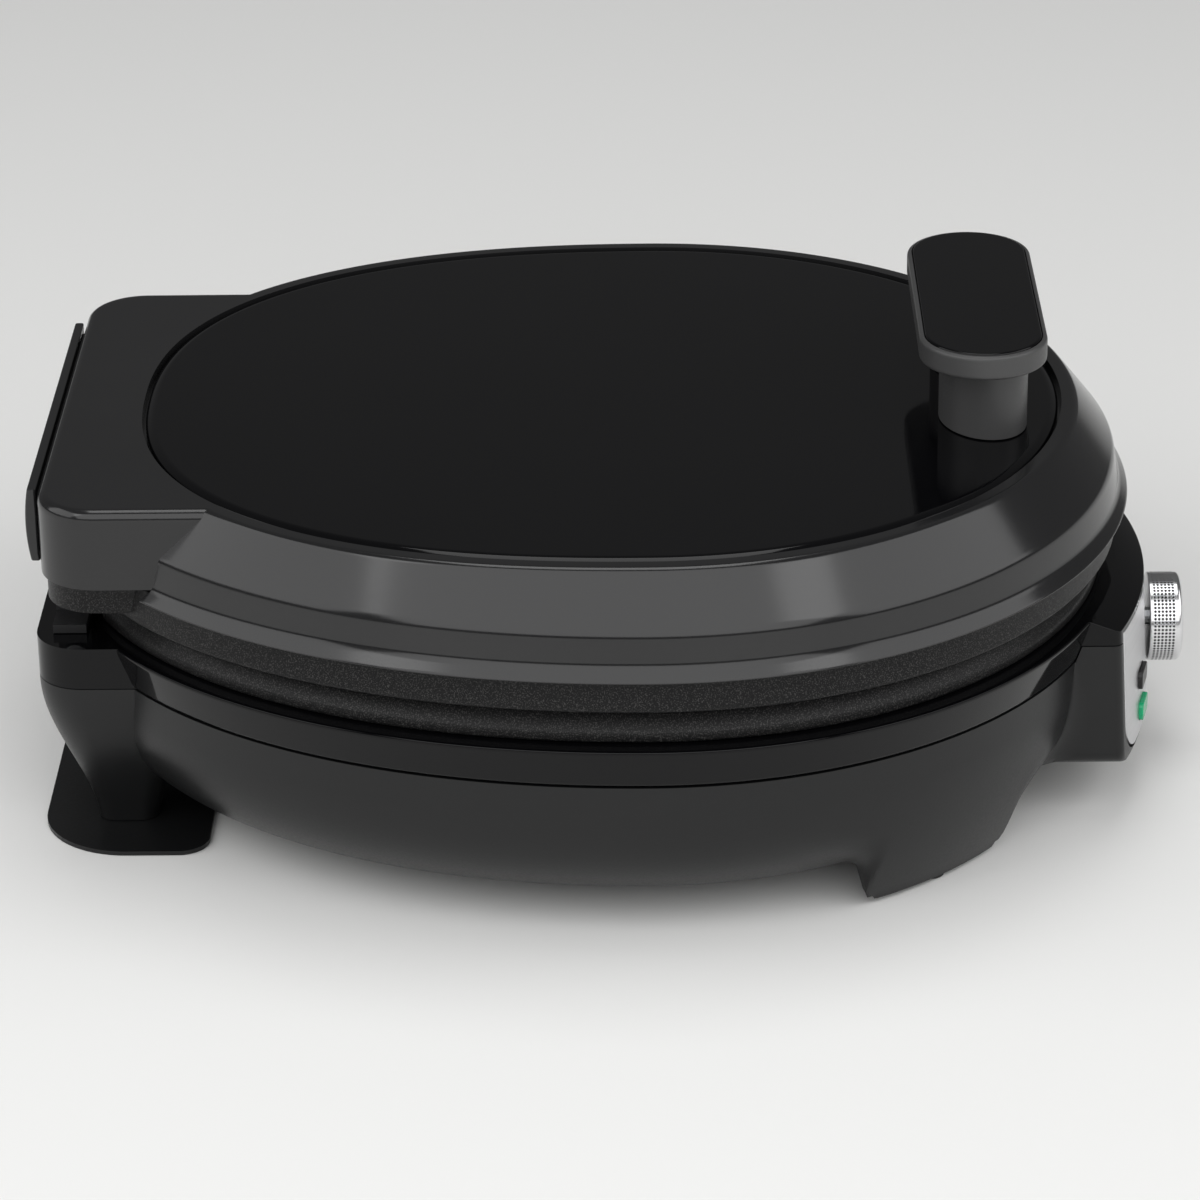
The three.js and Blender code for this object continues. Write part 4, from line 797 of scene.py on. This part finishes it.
def control_panel():
    sheet = panel_layer(-PANEL_SEAM, 0.0, PANEL_THICKNESS, PANEL_TOP)
    return cut(sheet, shaft_hole(), *lens_holes(BODY_RADIUS + BOWL_OFFSET))


def lens(rise):
    back = PANEL_RADIUS - PANEL_THICKNESS - BOWL_WALL - LENS_RISE
    return lens_body(0.0, back, panel_radius_at(rise) + LENS_RISE, rise)


# Base trim ring with the crescent over the panel
def crescent_fall():
    """Room above the crescent, whose top falls away to the front."""
    start = BODY_RADIUS + TRIM_TOP_OFFSET - SOFT_EDGE
    slope = CRESCENT_FALL / (panel_radius_at(TRIM_TOP) - start)
    reach = PANEL_RADIUS + OVERRUN
    side_turn = asin(HOUSING_HALF / start) + CRESCENT_MARGIN
    rows = []
    for radius, level in (
        (start, TRIM_TOP), (reach, TRIM_TOP - slope * (reach - start)),
        (reach, TRIM_TOP + OVERRUN), (start, TRIM_TOP + OVERRUN),
    ):
        arc = arc_points((0.0, 0.0), radius, -pi / 2 - side_turn, -pi / 2 + side_turn, PANEL_STEPS)
        rows.append([Vector((x, y, level)) for x, y in arc])
    return loft([[row[i] for row in rows] for i in range(PANEL_STEPS + 1)])


def crescent():
    piece = loft([
        flat_ring(housing_points(HOUSING_HALF, panel_radius_at(level), BODY_RADIUS), level)
        for level in (PANEL_TRIM_LEVEL, TRIM_TOP)
    ])
    return round_edges(cut(piece, crescent_fall()), CREST_EDGE)


def trim_ring():
    ring = plan_loft([
        (RIM_PLAN, BOWL_OFFSET - INLAND, PARTING),
        (RIM_PLAN, BOWL_OFFSET, PARTING),
        (RIM_PLAN, TRIM_TOP_OFFSET, TRIM_TOP),
        (RIM_PLAN, TRIM_TOP_OFFSET - INLAND, TRIM_TOP),
    ], TRIM_SOFT_EDGE)
    block_plan = block_points(BASE_BLOCK_HALF, BLOCK_FRONT, BASE_BLOCK_REAR, BASE_BLOCK_CORNER)
    outer = join(ring, prism(block_plan, PARTING, TRIM_TOP), crescent())
    seat = panel_layer(SEAT_GAP, OVERRUN, PANEL_THICKNESS + SEAT_GAP, PANEL_TOP + SEAT_GAP)
    opening = plan_loft([
        (PAN_PLAN, LOWER_PAN_OFFSET + PAN_CLEARANCE, PARTING - OVERRUN),
        (PAN_PLAN, LOWER_PAN_OFFSET + PAN_CLEARANCE, TRIM_TOP + OVERRUN),
    ])
    flange = TRIM_TOP - TRIM_WALL
    cavity = plan_loft([
        (RIM_PLAN, BOWL_OFFSET - TRIM_WALL, PARTING - OVERRUN),
        (RIM_PLAN, BOWL_OFFSET - TRIM_WALL, flange),
    ])
    block_cavity = prism(block_points(
        BASE_BLOCK_HALF - TRIM_WALL, BLOCK_FRONT,
        BASE_BLOCK_REAR - TRIM_WALL, BASE_BLOCK_CORNER - TRIM_WALL,
    ), PARTING - OVERRUN, flange)
    return cut(cut(outer, seat), opening, cavity, block_cavity)


# Lower shell: the bowl and its front legs as one skin, the rear block with its legs, the housing
def smooth_step(value, start, end):
    """Share from 0 at the start to 1 at the end, level at both."""
    share = min(1.0, max(0.0, (value - start) / (end - start)))
    return share * share * (3.0 - 2.0 * share)


def leg_weight(turn, end_turn, level):
    """How far the skin belongs to a front leg, at its turns from the front and a level."""
    low = LEG_EDGES[0]
    for high in LEG_EDGES[1:]:
        if level <= high[0]:
            break
        low = high
    share = 0.0 if high is low else min(1.0, max(0.0, (level - low[0]) / (high[0] - low[0])))
    start, end, soft = (low[k] + (high[k] - low[k]) * share for k in (1, 2, 3))
    begun = smooth_step(turn, start - soft, start + soft)
    return begun * (1.0 - smooth_step(end_turn, end - soft, end + soft))


def leg_foot():
    """Offsets and levels across the underside of a front leg's foot, to the outside."""
    inner = LEG_FOOT_OFFSET - LEG_FOOT_THICKNESS
    return [
        (inner - INLAND, BOWL_CLEARANCE),
        (inner - SEAT_GAP, LEG_FOOT_RISE + LEG_FOOT_CORNER),
        (inner, LEG_FOOT_RISE),
        (LEG_FOOT_OFFSET - LEG_FOOT_CORNER, LEG_FOOT_RISE),
        (LEG_FOOT_OFFSET - SEAT_GAP, LEG_FOOT_RISE + SEAT_GAP),
        (LEG_FOOT_OFFSET + SEAT_GAP, LEG_FOOT_RISE + LEG_FOOT_CORNER),
    ]


def leg_flare(low, t):
    """Offset and level on the leg's outside, from the foot's edge to the bowl's widest row."""
    pull = (BOWL_OFFSET, LEG_PULL_RISE)
    high = (BOWL_OFFSET, BOWL_CLEARANCE + BOWL_ROUNDING)
    return tuple(bent(low[k], pull[k], high[k], t) for k in (0, 1))


def bowl_profile():
    """Rows of (bowl offset and level, leg offset and level) from the floor's middle up the outside."""
    rows = [((BOWL_FLOOR_INLAND, BOWL_CLEARANCE), (BOWL_FLOOR_INLAND, BOWL_CLEARANCE))]
    foot = leg_foot()
    for step in range(BOWL_STEPS + 1):
        turn = step / BOWL_STEPS * pi / 2
        bowl = (
            BOWL_OFFSET - BOWL_ROUNDING + BOWL_ROUNDING * sin(turn),
            BOWL_CLEARANCE + BOWL_ROUNDING * (1.0 - cos(turn)),
        )
        if step < len(foot):
            leg = foot[step]
        else:
            leg = leg_flare(foot[-1], (step - len(foot) + 1) / (BOWL_STEPS - len(foot) + 1))
        rows.append((bowl, leg))
    return rows


def skin_ring(bowl, leg):
    """Ring that follows the bowl, and the leg where there is one; a leg's rear end is square to Y."""
    base_ring = plan_ring(RIM_PLAN, *bowl, SKIN_STEPS)
    leg_ring = plan_ring(RIM_PLAN, *leg, SKIN_STEPS)
    ring = []
    for p, q in zip(base_ring, leg_ring):
        if p.y >= 0.0:
            ring.append(p)
            continue
        reach = sqrt(q.x**2 + q.y**2)
        turn = acos(min(1.0, abs(q.y) / reach))
        end_turn = acos(min(1.0, abs(q.y) / max(reach, BODY_RADIUS + LEG_FOOT_OFFSET)))
        if turn > LEG_MIDDLE:
            p = Vector((copysign(sqrt(p.x**2 + p.y**2 - q.y**2), p.x), q.y, p.z))
        ring.append(p.lerp(q, leg_weight(turn, end_turn, leg[1])))
    return ring


def bowl_body(top):
    """Hollow bowl with its front legs."""
    rings = [skin_ring(bowl, leg) for bowl, leg in bowl_profile()]
    inner = BOWL_OFFSET - BOWL_WALL
    rounding = BOWL_ROUNDING - BOWL_WALL
    rows = [(BOWL_OFFSET, (top + rings[-1][0].z) / 2), (BOWL_OFFSET, top), (inner, top)]
    for step in range(ARC_STEPS + 1):
        turn = pi / 2 * (1.0 - step / ARC_STEPS)
        rows.append((
            BOWL_OFFSET - BOWL_ROUNDING + rounding * sin(turn),
            BOWL_CLEARANCE + BOWL_ROUNDING - rounding * cos(turn),
        ))
    rows.append((BOWL_FLOOR_INLAND, BOWL_CLEARANCE + BOWL_WALL))
    rings += [plan_ring(RIM_PLAN, *row, SKIN_STEPS) for row in rows]
    return loft(rings)


def bowl_inside(top):
    """Room inside the bowl, half a wall larger, to clear what joins the bowl from outside."""
    rounding = BOWL_ROUNDING - BOWL_WALL / 2
    rows = []
    for step in range(ARC_STEPS + 1):
        turn = pi / 2 * step / ARC_STEPS
        offset = BOWL_OFFSET - BOWL_ROUNDING + rounding * sin(turn)
        rows.append((RIM_PLAN, offset, BOWL_CLEARANCE + BOWL_ROUNDING - rounding * cos(turn)))
    rows.append((RIM_PLAN, BOWL_OFFSET - BOWL_WALL / 2, top))
    return plan_loft(rows)


def rear_leg(side, top):
    """Leg that swells from its foot into the corner of the rear block."""
    rings = []
    for step in range(REAR_LEG_STEPS + 1):
        level = REAR_LEG_RISE + (top - REAR_LEG_RISE) * step / REAR_LEG_STEPS
        share = smooth_step(level, *REAR_LEG_SWELL)
        width, depth, corner, x, y = (
            foot + (head - foot) * share for foot, head in zip(REAR_LEG_FOOT, REAR_LEG_TOP)
        )
        rings.append(flat_ring(rounded_points(width, depth, corner, (side * x, y)), level))
    return loft(rings)


def rear_block(top):
    """Hollow block behind the bowl, on its two legs."""
    bottom = PARTING - BLOCK_FLOOR_DROP
    corner = REAR_LEG_TOP[2]
    block = prism(block_points(
        BASE_BLOCK_HALF - corner, BLOCK_FRONT, BASE_BLOCK_REAR, corner
    ), bottom, top)
    hollow = prism(block_points(
        BASE_BLOCK_HALF - BOWL_WALL, BLOCK_FRONT,
        BASE_BLOCK_REAR - BOWL_WALL, BASE_BLOCK_CORNER - BOWL_WALL,
    ), bottom + BOWL_WALL, top + OVERRUN)
    outer = join(block, rear_leg(-1.0, top), rear_leg(1.0, top))
    return cut(outer, hollow, bowl_inside(top + OVERRUN))


def panel_housing(top, housing_top, pocket_depth):
    """Hollow housing behind the panel, up to the trim ring."""
    hollow = leaning_body(
        HOUSING_HALF - HOUSING_SIDE_ROUNDING, pocket_depth + BOWL_WALL, BODY_RADIUS - INLAND,
        HOUSING_CLEARANCE + BOWL_WALL, housing_top + OVERRUN,
    )
    trim_room = plan_loft([
        (RIM_PLAN, BOWL_OFFSET + SEAT_GAP, top),
        (RIM_PLAN, BOWL_OFFSET + SEAT_GAP, PARTING),
        (RIM_PLAN, TRIM_TOP_OFFSET + SEAT_GAP, TRIM_TOP),
    ])
    outer = join(housing_body(housing_top), housing_blend(-1.0, top), housing_blend(1.0, top))
    return cut(outer, hollow, trim_room, bowl_inside(top + OVERRUN))


def lower_shell():
    top = PARTING - SEAT_GAP
    housing_top = PANEL_TRIM_LEVEL - SEAT_GAP
    pocket_depth = PANEL_THICKNESS + SEAT_GAP
    whole = join(bowl_body(top), rear_block(top), panel_housing(top, housing_top, pocket_depth))
    pocket = panel_layer(SEAT_GAP, OVERRUN, pocket_depth, housing_top + OVERRUN)
    return cut(whole, pocket, shaft_hole(), *lens_holes(BODY_RADIUS + BOWL_OFFSET + OVERRUN))


# Knob
def temperature_knob():
    profile = (
        (0.0, KNOB_RADIUS - KNOB_BASE_EDGE - INLAND),
        (0.0, KNOB_RADIUS - KNOB_BASE_EDGE),
        (KNOB_BASE_EDGE, KNOB_RADIUS),
        (KNOB_LENGTH - KNOB_CHAMFER, KNOB_RADIUS),
        (KNOB_LENGTH - KNOB_DOME, KNOB_RADIUS - KNOB_CHAMFER),
        (KNOB_LENGTH - KNOB_DOME / 4, KNOB_RADIUS / 2),
    )
    rings = [flat_ring(circle_points(radius, KNOB_STEPS), level) for level, radius in profile]
    body = loft(soften(rings, SOFT_EDGE))
    bore = cylinder(SHAFT_RADIUS + SEAT_GAP, -OVERRUN, KNOB_BORE)
    place = Matrix.Translation((0.0, -PANEL_RADIUS - KNOB_STAND_OFF, 0.0))
    return moved(toward_front(cut(body, bore), KNOB_RISE), place)


# Materials
def new_material(name):
    material = bpy.data.materials.new(name)
    material.use_nodes = True
    tree = material.node_tree
    return material, tree, tree.nodes["Principled BSDF"]


def node(tree, kind, links=None, values=None, **settings):
    """Adds a node with its inputs linked to sockets or set to values."""
    made = tree.nodes.new(kind)
    for key, value in settings.items():
        setattr(made, key, value)
    for key, value in (values or {}).items():
        made.inputs[key].default_value = value
    for key, socket in (links or {}).items():
        tree.links.new(socket, made.inputs[key])
    return made


def object_point(tree, stretch=(1.0, 1.0, 1.0)):
    place = node(tree, "ShaderNodeTexCoord").outputs["Object"]
    return node(tree, "ShaderNodeMapping", {"Vector": place}, {"Scale": stretch}).outputs[0]


def noise(tree, point, scale, detail=2.0):
    made = node(tree, "ShaderNodeTexNoise", {"Vector": point}, {"Scale": scale, "Detail": detail})
    return made.outputs["Fac"]


def spread(tree, value, low, high, edges=NOISE_EDGES):
    """Maps a value between two edges onto a range."""
    return node(tree, "ShaderNodeMapRange", {"Value": value}, {
        "From Min": edges[0], "From Max": edges[1], "To Min": low, "To Max": high,
    }).outputs[0]


def tinted(tree, shader, shade, colour):
    """Colours the shader by a colour times a shade."""
    tint = node(tree, "ShaderNodeVectorMath", {1: shade}, {0: colour}, operation="MULTIPLY")
    tree.links.new(tint.outputs[0], shader.inputs["Base Color"])


def mixed(tree, shader, mask, ground, colour):
    """Colours the shader by one colour where the mask is 0 and by the other where it is 1."""
    mix = node(tree, "ShaderNodeMix", {0: mask}, {6: ground, 7: colour}, data_type="RGBA")
    tree.links.new(mix.outputs[2], shader.inputs["Base Color"])


def bumped(tree, shader, height, strength, depth, invert=False):
    bump = node(tree, "ShaderNodeBump", {"Height": height}, {
        "Strength": strength, "Distance": depth,
    }, invert=invert)
    tree.links.new(bump.outputs[0], shader.inputs["Normal"])


def surface(name, colour, roughness, grain, bump, metallic=0.0, coat=0.0,
            stretch=(1.0, 1.0, 1.0), vary=0.08, shine=0.5):
    """Moulded or metal surface: fine grain in the bump and the roughness, slow drift in colour."""
    material, tree, shader = new_material(name)
    slow = noise(tree, object_point(tree), DRIFT_SCALE, 3.0)
    fine = noise(tree, object_point(tree, stretch), grain, 3.0)
    tinted(tree, shader, spread(tree, slow, 1.0 - vary, 1.0 + vary), colour)
    rough = spread(tree, fine, roughness * (1.0 - ROUGHNESS_VARY), roughness * (1.0 + ROUGHNESS_VARY))
    tree.links.new(rough, shader.inputs["Roughness"])
    bumped(tree, shader, fine, bump, BUMP_DEPTH)
    shader.inputs["Metallic"].default_value = metallic
    shader.inputs["Coat Weight"].default_value = coat
    shader.inputs["Coat Roughness"].default_value = COAT_ROUGHNESS
    shader.inputs["Specular IOR Level"].default_value = shine
    return material


def speckled(name):
    """Dark non-stick coating with fine pale specks."""
    material, tree, shader = new_material(name)
    specks = noise(tree, object_point(tree), SPECK_SCALE, 1.0)
    mixed(tree, shader, spread(tree, specks, 0.0, 1.0, SPECK_EDGES), SPECK_GROUND, SPECK_COLOUR)
    bumped(tree, shader, specks, SPECK_BUMP, BUMP_DEPTH)
    tree.links.new(spread(tree, specks, *SPECK_ROUGHNESS), shader.inputs["Roughness"])
    shader.inputs["Specular IOR Level"].default_value = SPECK_SHINE
    return material


def dimple_mask(tree):
    """Value of 1 in the dimples, which run in rows round the knob, and 0 elsewhere; it carries their
    bump and their painted shade.
    """
    def maths(operation, a, b=None):
        made = node(tree, "ShaderNodeMath", operation=operation)
        for slot, value in enumerate((a, b)):
            if isinstance(value, float):
                made.inputs[slot].default_value = value
            elif value is not None:
                tree.links.new(value, made.inputs[slot])
        return made.outputs[0]

    def length(a, b):
        return maths("SQRT", maths("ADD", maths("MULTIPLY", a, a), maths("MULTIPLY", b, b)))

    centre = (0.0, PLAN_CENTRE_Y - PANEL_RADIUS - KNOB_STAND_OFF - KNOB_BAND, KNOB_RISE)
    place = node(tree, "ShaderNodeTexCoord").outputs["Object"]
    local = node(tree, "ShaderNodeVectorMath", {0: place}, {1: centre}, operation="SUBTRACT")
    x, y, z = node(tree, "ShaderNodeSeparateXYZ", {0: local.outputs[0]}).outputs
    column = maths("MULTIPLY", maths("ARCTAN2", x, z), KNURL_COUNT / (2.0 * pi))
    row = maths("MULTIPLY", y, -KNURL_ROWS / KNURL_LENGTH)
    away = length(
        maths("SUBTRACT", maths("FRACT", column), 0.5), maths("SUBTRACT", maths("FRACT", row), 0.5)
    )
    dimple = spread(tree, away, 0.0, 1.0, DIMPLE_EDGES)
    in_rows = maths(
        "MULTIPLY", maths("GREATER_THAN", row, 0.0), maths("LESS_THAN", row, float(KNURL_ROWS))
    )
    outside = maths("GREATER_THAN", length(x, z), KNOB_RADIUS - KNURL_DEPTH)
    return maths("MULTIPLY", maths("MULTIPLY", dimple, in_rows), outside)


def chrome_with_dimple_shade(name):
    """Bright chrome with rows of small dimples round the grip, the shade inside them painted dark into
    the colour.
    """
    material, tree, shader = new_material(name)
    mask = dimple_mask(tree)
    # Painted shade: the dimples take a dark colour in place of the shade that falls in them
    mixed(tree, shader, mask, CHROME_COLOUR, DIMPLE_SHADE_COLOUR)
    bumped(tree, shader, mask, DIMPLE_BUMP, DIMPLE_DEPTH, invert=True)
    fine = noise(tree, object_point(tree), CHROME_GRAIN)
    tree.links.new(spread(tree, fine, *CHROME_ROUGHNESS), shader.inputs["Roughness"])
    shader.inputs["Metallic"].default_value = 1.0
    return material


def tinted_lens(name, colour, roughness):
    """Coloured lamp lens with a faint cloudiness."""
    material, tree, shader = new_material(name)
    cloud = noise(tree, object_point(tree), LENS_GRAIN, 1.0)
    tinted(tree, shader, spread(tree, cloud, *LENS_TINT), colour)
    rough = spread(tree, cloud, roughness, LENS_ROUGHNESS_RISE * roughness)
    tree.links.new(rough, shader.inputs["Roughness"])
    return material


# Surfaces: name, colour, roughness, scale of the grain, strength of the bump, how metallic
MATERIALS = {
    "satin_black": surface("satin_black", (0.011, 0.011, 0.0115), 0.14, 900.0, 0.012),
    "gloss_black": surface("gloss_black", (0.002, 0.002, 0.0024), 0.06, 60.0, 0.006, shine=0.22),
    "matte_black": surface("matte_black", (0.0065, 0.0067, 0.007), 0.34, 1100.0, 0.1, shine=0.35),
    "soft_grey": surface("soft_grey", (0.046, 0.046, 0.0465), 0.42, 1300.0, 0.05),
    "nonstick": speckled("nonstick"),
    "brushed_silver": surface(
        "brushed_silver", (0.62, 0.62, 0.63), 0.34, 700.0, 0.12, 1.0,
        stretch=(0.03, 0.03, 1.0), vary=0.03,
    ),
    "chrome": chrome_with_dimple_shade("chrome"),
    "steel": surface("steel", (0.45, 0.46, 0.47), 0.36, 500.0, 0.08, 1.0),
    "black_steel": surface("black_steel", (0.03, 0.03, 0.031), 0.45, 900.0, 0.1, 0.6),
    "element_steel": surface("element_steel", (0.17, 0.165, 0.16), 0.5, 400.0, 0.12, 1.0, vary=0.25),
    "aluminium": surface("aluminium", (0.6, 0.61, 0.62), 0.4, 350.0, 0.1, 1.0),
    "thermostat_white": surface("thermostat_white", (0.72, 0.7, 0.65), 0.45, 600.0, 0.1),
    "dark_lens": tinted_lens("dark_lens", (0.004, 0.003, 0.003), 0.3),
    "green_lens": tinted_lens("green_lens", (0.004, 0.33, 0.14), 0.2),
    "lamp_glass": surface("lamp_glass", (0.85, 0.75, 0.55), 0.08, 200.0, 0.02, coat=0.5),
    "rubber": surface("rubber", (0.018, 0.018, 0.018), 0.75, 700.0, 0.3),
}


def dress_nodes():
    """Gives each node that stays its slot's material."""
    slots = {entry["node"]: entry["material_slot"] for entry in frame["record"]["subparts"]}
    for name, piece in frame["nodes"].items():
        material = MATERIALS[slots[name]]
        if not piece.material_slots:
            piece.data.materials.append(material)
        for place in piece.material_slots:
            place.link = "OBJECT"
            place.material = material


# Stage
def make_camera():
    data = bpy.data.cameras.new("camera")
    data.lens = CAMERA_LENS
    data.sensor_width = CAMERA_SENSOR
    data.sensor_fit = "HORIZONTAL"
    data.clip_end = CAMERA_REACH
    camera = bpy.data.objects.new("camera", data)
    turn = Matrix((CAMERA_RIGHT, CAMERA_UP, CAMERA_BACK)).transposed().to_4x4()
    place = Vector(CAMERA_PLACE) + Vector((0.0, PLAN_CENTRE_Y, 0.0))
    camera.matrix_world = Matrix.Translation(place) @ turn
    bpy.context.collection.objects.link(camera)
    bpy.context.scene.camera = camera


def area_lamp(name, place, size, power):
    data = bpy.data.lights.new(name, "AREA")
    data.shape = "RECTANGLE"
    data.size, data.size_y = size
    data.energy = power
    lamp = bpy.data.objects.new(name, data)
    lamp.location = place
    lamp.rotation_euler = (Vector(LAMP_TARGET) - Vector(place)).to_track_quat("-Z", "Y").to_euler()
    bpy.context.collection.objects.link(lamp)


def make_world():
    """Even light from all round."""
    world = bpy.data.worlds.new("world")
    bpy.context.scene.world = world
    world.use_nodes = True
    nodes, links = world.node_tree.nodes, world.node_tree.links
    nodes.clear()
    out = nodes.new("ShaderNodeOutputWorld")
    light = nodes.new("ShaderNodeBackground")
    light.inputs["Color"].default_value = (1.0, 1.0, 1.0, 1.0)
    light.inputs["Strength"].default_value = WORLD_STRENGTH
    links.new(light.outputs[0], out.inputs[0])


def make_floor():
    mesh = bpy.data.meshes.new("floor")
    corners = [(x * FLOOR_HALF, y * FLOOR_HALF, 0.0) for x, y in ((-1, -1), (1, -1), (1, 1), (-1, 1))]
    mesh.from_pydata(corners, [], [(0, 1, 2, 3)])
    floor = bpy.data.objects.new("floor", mesh)
    floor.location.z = -FLOOR_DROP
    bpy.context.collection.objects.link(floor)
    material = bpy.data.materials.new("floor")
    material.use_nodes = True
    shader = material.node_tree.nodes["Principled BSDF"]
    shader.inputs["Base Color"].default_value = FLOOR_COLOUR
    shader.inputs["Roughness"].default_value = FLOOR_ROUGHNESS
    mesh.materials.append(material)


# Pieces: builder, piece name, body, the nodes it stands for, material slot, edge rounding
PIECES = (
    (lid_housing, "lid_shell", "lid", ("lid_housing",), "satin_black", CRISP_EDGE),
    (lid_disc, "lid_disc", "lid", ("lid_top_disc",), "gloss_black", 0.0),
    (lid_rear_cover, "rear_cover", "lid", ("lid_rear_cover",), "satin_black", CRISP_EDGE),
    (handle_bar, "handle_grip", "lid", ("handle_bar",), "soft_grey", CRISP_EDGE),
    (handle_inlay, "handle_top", "lid", ("handle_inlay",), "gloss_black", 0.0),
    (lambda: handle_post(-1.0), "post_left", "lid", ("handle_post_left",), "soft_grey", 0.0),
    (lambda: handle_post(1.0), "post_right", "lid", ("handle_post_right",), "soft_grey", 0.0),
    (upper_plate, "plate_above", "lid", ("upper_plate",), "nonstick", CRISP_EDGE),
    (lower_plate, "plate_below", "base", ("lower_plate",), "nonstick", CRISP_EDGE),
    (trim_ring, "trim_band", "base", ("base_trim_ring",), "gloss_black", CRISP_EDGE),
    (lower_shell, "bowl_shell", "base", (
        "base_lower_shell", "front_leg_left", "front_leg_right", "rear_leg_left", "rear_leg_right",
    ), "matte_black", CRISP_EDGE),
    (control_panel, "panel_face", "base", ("control_panel",), "brushed_silver", 0.0),
    (lambda: lens(POWER_LENS_RISE), "lens_dark", "base", ("power_lens",), "dark_lens", CRISP_EDGE),
    (lambda: lens(READY_LENS_RISE), "lens_green", "base", ("ready_lens",), "green_lens", CRISP_EDGE),
    (temperature_knob, "knob", "knob", ("temperature_knob",), "chrome", 0.0),
)

for build, name, body, nodes, slot, edge in PIECES:
    finish(build(), name, body, nodes, slot, edge)
dress_nodes()

make_camera()
make_world()
make_floor()
for name, place, size, power in LAMPS:
    area_lamp(name, place, size, power)
bpy.context.scene.view_settings.view_transform = "Standard"
